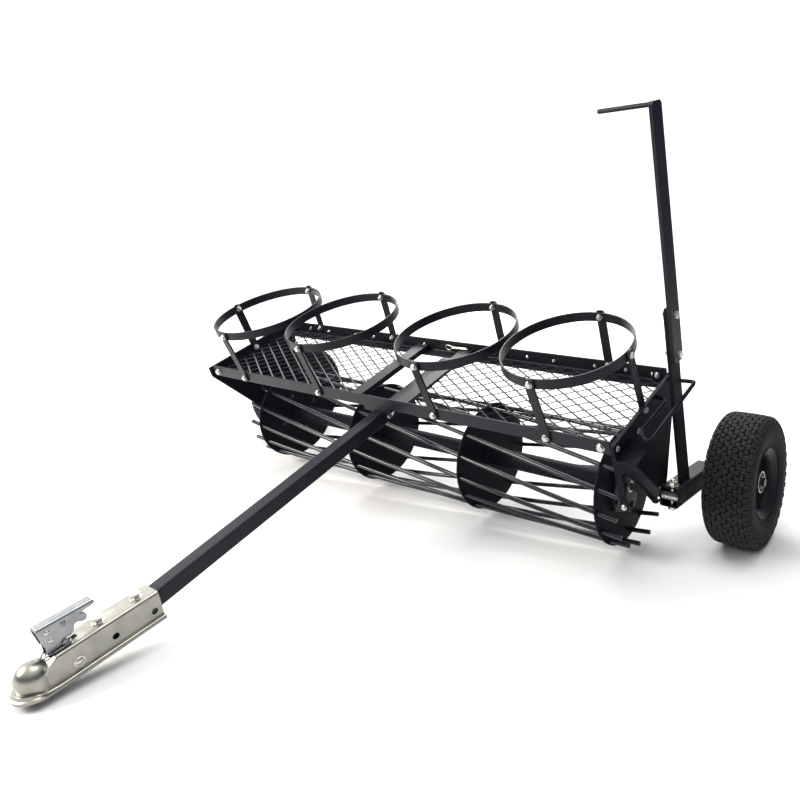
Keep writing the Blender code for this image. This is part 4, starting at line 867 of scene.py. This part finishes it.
piece("roller_core_tube", [lathe([(CORE_IN, core_x), (CORE_R - 0.5, core_x), (CORE_R, core_x - 0.5), (CORE_R, -core_x + 0.5), (CORE_R - 0.5, -core_x), (CORE_IN, -core_x)], 64, outward_x(1, 0, AXIS_Y, AXIS_Z), closed=True)], "roller", ["roller_core"], mat=DEEP_BLACK)
for side, label in ((-1, "left"), (1, "right")):
    x = DISC_X[3] + DISC_T / 2 + 0.1
    arms = [(AXIS_Y + 78.0 * math.cos(math.radians(a + da)), AXIS_Z + 78.0 * math.sin(math.radians(a + da))) for a in BEARING_BOLTS for da in (-12, 12)]
    seat = plate(fillet(arms, 7, 4), 9.0, frame_at((side * x if side > 0 else side * x - 9.0, 0, 0), Y, Z), holes=[circle(AXIS_Y, AXIS_Z, 20.0, 40)], r=1.4, steps=2)
    m = outward_x(side, x, AXIS_Y, AXIS_Z)
    boss = lathe([(10.9, 17.0), (24.0, 17.0), (25.0, 16.0), (26.5, 16.0), (31.5, 16.4), (33.0, 14.5), (36.0, 7.0), (20.0, 4.0), (10.9, 4.0)], 56, m, closed=True)
    race = lathe([(10.6, 20.0), (14.6, 20.0), (15.2, 19.4), (15.2, 15.0), (10.6, 15.0)], 40, m, closed=True)
    piece(f"hub_bearing_{label}_housing", [seat, boss, (race, ZINC)], "roller", [f"hub_bearing_{label}"])
    bolts = []
    for a in BEARING_BOLTS:
        y, z = AXIS_Y + 64.0 * math.cos(math.radians(a)), AXIS_Z + 64.0 * math.sin(math.radians(a))
        head, nut = bolt_through((side * (x + 9.0), y, z), (side, 0, 0), 9.0 + DISC_T, 13, 5.5, 8.6, turn=a)
        bolts += [(head, DARK_STEEL), (nut, DARK_STEEL)]
    piece(f"hub_bearing_{label}_bolts", bolts, "roller", mat=ZINC)

# ---------------------------------------------------------------- shaft, wheel arms, axles
ARM, ARM_X, ARM_PITCH, ARM_FRONT, ARM_REAR = 50.0, 751.0, 21.0, -14.0, 222.0
WHEEL_X, WHEEL_Y, WHEEL_Z = 899.0, 200.0, -310.0
TYRE_R, TYRE_W = 170.0, 124.0
CROSS_X = ARM_X + 28.0
ARM_SPACE = Matrix.Translation(mm((0, AXIS_Y, AXIS_Z))) @ Matrix.Rotation(math.radians(-ARM_PITCH), 4, "X")
shaft = [lathe([(0.0, 801.2), (SHAFT_R, 801.2), (SHAFT_R, -801.2), (0.0, -801.2)], 48, outward_x(1, 0, AXIS_Y, AXIS_Z))]
for s in (-1, 1):
    shaft.append(hex_head(outward_x(s, 801.3, AXIS_Y, AXIS_Z), 20.0, 7.6, 11.5, stud=3.8, stud_r=5.5, turn=0.3))
    ribs = [(10.1, 754.2), (11.6, 754.2)]
    for k in range(11):
        at = 756.0 + 3.7 * k
        ribs += [(11.6, at), (12.6, at + 0.7), (12.6, at + 2.2), (11.6, at + 2.9)]
    ribs += [(11.6, 797.8), (10.1, 797.8)]
    shaft.append((lathe(ribs, 40, outward_x(s, 0, AXIS_Y, AXIS_Z), closed=True), ZINC))
piece("roller_shaft_bar", shaft, "lift", ["roller_shaft"], DARK_STEEL)
for side, label in ((-1, "left"), (1, "right")):
    lo, hi = sorted((side * ARM_X, side * (ARM_X + ARM)))
    a = ARM / 2
    square = fillet([(lo, -a), (hi, -a), (hi, a), (lo, a)], 5.5, 6)
    bore = fillet([(lo + 3, -a + 3), (hi - 3, -a + 3), (hi - 3, a - 3), (lo + 3, a - 3)], 3.0, 5)
    piece(f"wheel_arm_{label}_tube", [plate(square, ARM_REAR - ARM_FRONT, frame_at((0, ARM_REAR, 0), X, Z), holes=[bore], r=0.6)], "lift", [f"wheel_arm_{label}"], space=ARM_SPACE)
    cross = [
        hex_head(toward((side * CROSS_X, 0, a), Z), 18, 10.5, 12.0, stud=6.0, stud_r=5.4, turn=0.2),
        hex_head(toward((side * CROSS_X, 0, -a), (0, 0, -1)), 18, 8.0, 12.0, stud=3.0, stud_r=5.4, turn=0.6),
        lathe([(0.0, a), (4.0, a), (4.0, -a), (0.0, -a)], 20, Matrix.Translation(mm((side * CROSS_X, 0, 0)))),
    ]
    piece(f"arm_bolt_{label}_set", cross, "lift", [f"arm_bolt_{label}"], ZINC, ARM_SPACE)
    axle = [
        lathe([(0.0, 940.0), (9.8, 940.0), (9.8, 742.0), (0.0, 742.0)], 32, outward_x(side, 0, WHEEL_Y, WHEEL_Z)),
        (lathe([(0.0, 941.6), (15.0, 941.6), (15.6, 941.2), (15.6, 940.0), (0.0, 940.0)], 40, outward_x(side, 0, WHEEL_Y, WHEEL_Z)), DARK_STEEL),
        (hex_head(outward_x(side, 941.6, WHEEL_Y, WHEEL_Z), 20.0, 8.0, 0, turn=0.5), DARK_STEEL),
        hex_head(outward_x(side, 751.0, WHEEL_Y, WHEEL_Z) @ Matrix.Rotation(math.pi, 4, "X"), 24.0, 8.5, 0, turn=0.1),
    ]
    piece(f"axle_bolt_{label}_set", axle, "lift", [f"axle_bolt_{label}"], ZINC)
    spacer = lathe([(10.2, 801.2), (15.5, 801.2), (15.5, 856.4), (10.2, 856.4)], 32, outward_x(side, 0, WHEEL_Y, WHEEL_Z), closed=True)
    piece(f"axle_spacer_{label}_tube", [spacer], "lift", [f"axle_spacer_{label}"], ZINC)

# ---------------------------------------------------------------- wheels: rim, tyre with its block tread
RIM_R = 84.0
carcass = [
    (86.5, -45.0), (88.5, -50.4), (92.5, -53.0), (96.5, -52.4), (99.5, -53.6), (101.0, -56.2), (103.0, -57.0), (105.0, -56.6), (107.0, -57.6), (113.0, -60.0), (124.0, -61.9),
    (136.0, -62.0), (146.5, -60.8), (154.5, -58.0), (160.0, -53.5), (163.2, -46.0), (164.2, -32.0), (164.7, -14.0), (164.8, 0.0),
]
carcass = carcass + [(r, -w) for r, w in carcass[-2::-1]]
BLOCK_COUNT = 68
# Rows of tread blocks: from, to along the width of the tread, and how far around they are staggered.
TREAD_ROWS = (
    (-62.5, -48.0, 0.30), (-45.6, -35.4, 0.85), (-33.2, -22.0, 0.35), (-19.8, -7.6, 0.80), (-5.4, 6.2, 0.28), (8.4, 19.8, 0.75), (22.0, 33.2, 0.22), (35.4, 45.6, 0.70), (48.0, 62.5, 0.15),
)


def tread_surface(s, lift):
    """Radius and width of the tread at s millimetres from its middle, lift above the carcass."""
    a = abs(s)
    if a <= 46.0:
        r, w, tilt = 164.8 - 1.4 * (a / 46.0) ** 2.4, a, 0.07 * (a / 46.0) ** 1.4
    else:
        f = (a - 46.0) / 17.0
        tilt = 0.08 + 1.1 * f
        r = 163.4 - 2.6 * f - 8.5 * f * f
        w = 46.0 + 13.2 * f - 2.0 * f * f
    r, w = r + lift * math.cos(tilt), w + lift * math.sin(tilt)
    return r, math.copysign(w, s) if s else 0.0


def tread_block(bm, s0, s1, t0, t1, side, skew):
    """One block from s0 to s1 across and t0 to t1 around, in radians."""
    n_s, n_t = 4, 3
    inset_s, inset_t = 1.1, 1.1 / 160.0
    levels = ((0.0, 0.0, -1.5), (0.0, 0.0, 3.9), (0.45, 0.45, 4.75), (1.0, 1.0, 5.0))
    rows = []
    for fs, ft, lift in levels:
        a0, a1 = s0 + inset_s * fs, s1 - inset_s * fs
        b0, b1 = t0 + inset_t * ft, t1 - inset_t * ft
        grid = [[None] * (n_t + 1) for _ in range(n_s + 1)]
        for i in range(n_s + 1):
            for j in range(n_t + 1):
                s = a0 + (a1 - a0) * i / n_s
                t = b0 + (b1 - b0) * j / n_t + skew * (s - (s0 + s1) / 2) / 160.0
                edge = i in (0, n_s) or j in (0, n_t)
                if edge or lift == 5.0:
                    r, w = tread_surface(s, lift)
                    grid[i][j] = bm.verts.new(mm((r * math.cos(t), r * math.sin(t), w * side)))
        rows.append(grid)
    loop = [(i, 0) for i in range(n_s)] + [(n_s, j) for j in range(n_t)] + [(i, n_t) for i in range(n_s, 0, -1)] + [(0, j) for j in range(n_t, 0, -1)]
    for a, b in zip(rows, rows[1:]):
        for k, (i, j) in enumerate(loop):
            i2, j2 = loop[(k + 1) % len(loop)]
            bm.faces.new((a[i][j], a[i2][j2], b[i2][j2], b[i][j]))
    top = rows[-1]
    for i in range(n_s):
        for j in range(n_t):
            bm.faces.new((top[i][j], top[i + 1][j], top[i + 1][j + 1], top[i][j + 1]))
    bottom = rows[0]
    bm.faces.new([bottom[i][j] for i, j in loop][::-1])


def tyre_tread(where):
    bm = bmesh.new()
    pitch = 2 * math.pi / BLOCK_COUNT
    for s0, s1, stagger in TREAD_ROWS:
        wide = abs(s0 + s1) / 2 > 40
        gap = 2.3 / 160.0
        for k in range(BLOCK_COUNT):
            t0 = (k + stagger) * pitch
            odd = 1 if k % 2 else -1
            shift = 0.0 if wide else 1.1 * odd
            longer = 0.08 * pitch * odd
            skew = 0.0 if wide else 0.24 * odd
            out = 1.6 * odd if wide else 0.0
            a, b = s0 + shift - (out if s0 < 0 else 0.0), s1 + shift + (out if s0 > 0 else 0.0)
            tread_block(bm, a, b, t0 + gap / 2 - longer * (0.5 - 0.5 * odd), t0 + pitch - gap / 2 + longer * (0.5 + 0.5 * odd), 1, skew)
    bmesh.ops.recalc_face_normals(bm, faces=bm.faces)
    mesh = bpy.data.meshes.new("tread")
    bm.to_mesh(mesh)
    bm.free()
    mesh.transform(where)
    return mesh


rim_profile = [
    (10.8, 38.5), (23.0, 38.5), (24.4, 38.0), (24.6, 20.0), (25.5, 9.0), (29.0, 5.0), (40.0, 3.4), (48.0, 3.6), (56.0, 6.0), (61.5, 12.0), (64.5, 22.0), (66.0, 34.0),
    (69.0, 42.0), (74.0, 46.5), (79.0, 48.5), (84.0, 53.0), (87.2, 54.6), (89.6, 53.4), (87.6, 50.0), (81.0, 47.0), (79.0, 44.0),
    (79.0, -44.0), (81.0, -47.0), (87.6, -50.0), (89.6, -53.4), (87.2, -54.6), (84.0, -53.0), (79.0, -48.5), (74.0, -46.5), (69.0, -42.0), (66.0, -30.0),
    (64.0, -8.0), (60.0, -1.0), (52.0, -1.4), (40.0, -1.6), (26.0, -1.0), (21.5, -5.0), (19.6, -16.0), (19.0, -40.5), (18.0, -41.5), (10.8, -41.5),
]
for side, label in ((-1, "left"), (1, "right")):
    m = outward_x(side, WHEEL_X, WHEEL_Y, WHEEL_Z)
    body_name = f"wheel_{label}"
    skin = lathe([(r, w) for r, w in carcass] + [(79.5, 44.0), (79.5, -44.0)], 160, m, closed=True)
    piece(f"tyre_{label}_body", [(skin, SIDEWALL), (tyre_tread(m), TREAD)], body_name, [f"tyre_{label}"], TREAD, angle=42)
    valve = toward((side * (WHEEL_X + 22.0), WHEEL_Y - 48.0, WHEEL_Z - 50.0), (side * 0.95, 0.22, 0.24))
    stem = lathe([(0.0, 30.0), (2.2, 30.0), (3.2, 29.0), (3.6, 20.0), (4.6, 10.0), (6.4, 3.0), (6.6, 0.0), (0.0, -2.0)], 20, valve)
    piece(f"rim_{label}_steel", [lathe(rim_profile, 128, m, closed=True), (stem, SIDEWALL)], body_name, [f"rim_{label}"], RIM_BLACK)
    sleeve = lathe([(24.6, 41.0), (26.2, 41.8), (27.6, 41.4), (27.8, 38.0), (27.2, 30.0), (24.6, 30.0)], 48, m, closed=True)
    piece(f"hub_bush_{label}", [sleeve], body_name, (), ZINC)

# ---------------------------------------------------------------- lever
LEVER_X, LEVER_T, LEVER_W, LEAN = 783.0, 10.0, 48.0, 0.1175


def lever_y(z):
    return 75.0 + LEAN * (z + 204.0)


def lever_bar(x, z0, z1, foot=None):
    a, b = Vector((x, lever_y(z0), z0)), Vector((x, lever_y(z1), z1))
    up = (b - a).normalized()
    across = Vector((0, up.z, -up.y))
    length, w, c = (b - a).length, LEVER_W / 2, 7.0
    low = [(w - c, 0.0), (-w + c, 0.0), (-w, c)] if foot is None else [(w, foot[1]), (-w, foot[0])]
    top = [(-w, length - c), (-w + c, length), (w - c, length), (w, length - c)]
    pts = [*low, *top] + ([(w, c)] if foot is None else [])
    return plate(fillet(pts, 1.4, 3), LEVER_T, frame_at(a, across, up), r=0.9, steps=2)


# The lower bar stands on the arm's top, so its foot is cut to the arm's slope.
slope = math.tan(math.radians(ARM_PITCH) + math.atan(LEAN))
arm_top = lambda y: AXIS_Z + 25.3 / math.cos(math.radians(ARM_PITCH)) - (y - AXIS_Y) * math.tan(math.radians(ARM_PITCH))
foot_z = -225.0
mid = arm_top(lever_y(foot_z)) - foot_z
feet = (mid + LEVER_W / 2 * slope, mid - LEVER_W / 2 * slope)
piece("lever_lower_bar", [lever_bar(LEVER_X, foot_z, 218.0, feet)], "lift", ["lever_lower"], mat=DEEP_BLACK)
grip_at = Vector((LEVER_X + LEVER_T + 5.0, lever_y(679.0), 678.5))
grip_dir = Vector((-150.0, 14.0, -10.0)).normalized()
piece(
    "lever_upper_bar",
    [lever_bar(LEVER_X + LEVER_T + 0.3, 82.0, 686.0), sweep([grip_at + grip_dir * t for t in (-4.0, 40.0, 90.0, 151.0)], 5.9, 24, 1.0), lathe([(5.7, 3.4), (7.4, 3.0), (8.6, 1.4), (9.0, -0.2), (5.7, -0.2)], 28, toward(grip_at + grip_dir * 5.0, grip_dir), closed=True)],
    "lift", ["lever_upper"],
)
for z, label in ((199.0, "upper"), (101.0, "lower")):
    at = (LEVER_X + 2 * LEVER_T + 0.4, lever_y(z), z)
    piece(f"lever_bolt_{label}_set", bolt_through(at, X, 2 * LEVER_T + 0.6, 17.0, 7.5, 0.0, 9.0, 5.0, 0.0, turn=0.5), "lift", [f"lever_bolt_{label}"], ZINC)
# Weld where the lever stands on the arm.
weld = []
for s in (-1, 1):
    x = LEVER_X + LEVER_T / 2 + s * (LEVER_T / 2 + 0.6)
    ys = [lever_y(foot_z) - 22.0 + 44.0 * k / 14 for k in range(15)]
    weld.append(sweep([(x + 0.35 * math.sin(k * 2.3), y, arm_top(y) + 0.8) for k, y in enumerate(ys)], 2.6, 10, 0.8))
piece("lever_weld", weld, "lift")

# ---------------------------------------------------------------- guide, bracket and clip on the right end plate
PX = PLATE_X + PLATE_T + 0.3
guide = [
    (PX, 154.0, -4.0), (812.0, 154.0, -1.0), (815.0, 142.0, 0.0), (815.0, -92.0, 4.0), (812.0, -103.0, 4.0), (804.0, -104.0, 3.0),
    (790.0, -93.0, 2.0), (778.0, -78.0, 1.0), (775.0, -66.0, 0.0), (775.0, 58.0, -6.0), (765.0, 74.0, -6.0), (PX, 74.0, -6.0),
]
piece("lever_guide_bar", [sweep(rounded_path(guide, 6, 5), 5.0, 18, 0.6)], "frame", ["lever_guide"], mat=DEEP_BLACK)

strap_dir = Vector((0, 131.0, -200.0)).normalized()
strap = plate(fillet([(0, 0), (44.0, 0), (44.0, 158.0), (8.0, 236.0), (0, 236.0)], [3, 5, 12, 5, 3], 4), 4.0, frame_at((PX + 8.0, -158.0, -27.0), X, strap_dir), r=0.9)
shelf = rounded_box((PX + 7.0, -157.0, -31.0), (PX + 52.0, -100.0, -27.0), 0.9, "Z", 4)
joiner = rounded_box((PX, -130.0, -31.0), (PX + 20.0, -72.0, -27.0), 0.9, "Z", 3)
low_wall = rounded_box((PX, -120.0, -60.0), (PX + 4.0, -70.0, -27.5), 0.9, "X", 5)
piece("lever_bracket_steel", [strap, shelf, joiner, low_wall], "frame", ["lever_bracket"], mat=DEEP_BLACK)
piece(
    "bracket_bolts",
    [
        hex_head(toward((PX + 4.0, -106.0, -46.0), X), 10.0, 4.6, 7.5, turn=0.3),
        hex_head(toward((PX + 0.2, -34.0, -29.0), X), 10.0, 4.6, 7.5, turn=0.9),
        hex_head(toward((PX + 0.2, -136.0, -8.0), X), 10.0, 4.6, 7.5, turn=0.1),
    ],
    "frame", mat=ZINC,
)
piece("hanger_bar_steel", [rounded_box((722.0, -131.0, -190.0), (741.0, -126.0, FRONT_Z0 - 0.3), 0.9, "Y", 5), (hex_head(toward((731.5, -131.0, -178.0), (0, -1, 0)), 11.0, 5.0, 7.2, turn=0.2), ZINC)], "frame", ["hanger_bar"], mat=DEEP_BLACK)

cy = REAR_Y - RAIL_T - 7.0
clip = rounded_path([(96.0, cy, 6.5), (34.0, cy, 6.0), (24.0, cy, -1.5), (14.0, cy, -2.0), (9.5, cy, 4.0), (12.0, cy, 12.0), (22.0, cy, 14.0), (40.0, cy, 9.5), (92.0, cy, 11.0)], 5, 6)
piece("hairpin_clip_wire", [sweep(clip, 1.9, 12, 0.4)], "frame", ["hairpin_clip"], ZINC)

# ---------------------------------------------------------------- floor, light
floor_mat = Graph("studio_floor")
grain = floor_mat.noise(900, 3.0)
floor_mat.set(Base_Color=floor_mat.mix(floor_mat.remap(grain, 0.3, 0.7, 0.0, 1.0), (0.70, 0.70, 0.70), (0.73, 0.73, 0.73)), Roughness=0.8)
floor_mat.shader.inputs["Specular IOR Level"].default_value = 0.2
bm = bmesh.new()
bmesh.ops.create_circle(bm, cap_ends=True, radius=4.2, segments=128)
floor_mesh = bpy.data.meshes.new("floor")
bm.to_mesh(floor_mesh)
bm.free()
floor_mesh.materials.append(floor_mat.mat)
floor = bpy.data.objects.new("floor", floor_mesh)
bpy.context.scene.collection.objects.link(floor)

# The room: a white back wall and ceiling; the walls beside and before the machine are in half light.
world = bpy.data.worlds.new("studio")
bpy.context.scene.world = world
world.use_nodes = True
wt = world.node_tree
background = wt.nodes["Background"]
coord = wt.nodes.new("ShaderNodeTexCoord")


def world_math(op, a, b):
    n = wt.nodes.new("ShaderNodeMath")
    n.operation = op
    for socket, v in zip(n.inputs, (a, b)):
        if isinstance(v, (int, float)):
            socket.default_value = v
        else:
            wt.links.new(v, socket)
    return n.outputs[0]


def world_step(value, low, high):
    n = wt.nodes.new("ShaderNodeMapRange")
    n.interpolation_type = "SMOOTHSTEP"
    n.inputs["From Min"].default_value, n.inputs["From Max"].default_value = low, high
    wt.links.new(value, n.inputs["Value"])
    return n.outputs["Result"]


split = wt.nodes.new("ShaderNodeSeparateXYZ")
wt.links.new(coord.outputs["Generated"], split.inputs["Vector"])
wall_way = world_math("ADD", world_math("MULTIPLY", split.outputs["X"], -0.669), world_math("MULTIPLY", split.outputs["Y"], 0.743))
white = world_math("MAXIMUM", world_step(wall_way, 0.50, 0.80), world_step(split.outputs["Z"], 0.40, 0.80))
blend_node = wt.nodes.new("ShaderNodeMix")
blend_node.data_type = "RGBA"
wt.links.new(white, blend_node.inputs["Factor"])
blend_node.inputs["A"].default_value = (0.10, 0.115, 0.165, 1.0)
blend_node.inputs["B"].default_value = (1.32, 1.32, 1.34, 1.0)
wt.links.new(blend_node.outputs["Result"], background.inputs["Color"])
background.inputs["Strength"].default_value = 1.0
# The bare wall itself looks evenly pale from every side.
wall = wt.nodes.new("ShaderNodeBackground")
wall.inputs["Color"].default_value = (1.32, 1.32, 1.34, 1.0)
path = wt.nodes.new("ShaderNodeLightPath")
seen = wt.nodes.new("ShaderNodeMixShader")
wt.links.new(path.outputs["Is Camera Ray"], seen.inputs[0])
wt.links.new(background.outputs[0], seen.inputs[1])
wt.links.new(wall.outputs[0], seen.inputs[2])
wt.links.new(seen.outputs[0], wt.nodes["World Output"].inputs["Surface"])


def area(name, at, target, size, power, color):
    data = bpy.data.lights.new(name, "AREA")
    data.shape, data.size, data.size_y = "RECTANGLE", size[0], size[1]
    data.energy, data.color = power, color
    o = bpy.data.objects.new(name, data)
    bpy.context.scene.collection.objects.link(o)
    o.location = at
    o.rotation_mode = "QUATERNION"
    o.rotation_quaternion = (Vector(target) - Vector(at)).to_track_quat("-Z", "Y")


area("key_warm", (-2.3, -2.5, 2.0), (0, -0.2, 0.3), (1.7, 1.4), 200.0, (1.0, 0.95, 0.87))
area("back_floor", (-2.4, 3.4, 3.2), (-1.4, 2.2, 0), (3.2, 3.2), 230.0, (1.0, 0.99, 0.97))
area("left_panel", (-2.9, -0.3, 1.8), (0, -0.7, 0.15), (1.5, 1.2), 14.0, (1.0, 0.98, 0.93))
area("top_soft", (0.3, 0.0, 3.4), (0, 0, 0.2), (2.2, 2.2), 60.0, (1.0, 0.99, 0.97))

view = bpy.context.scene.view_settings
view.view_transform = "Standard"
view.look = "None"
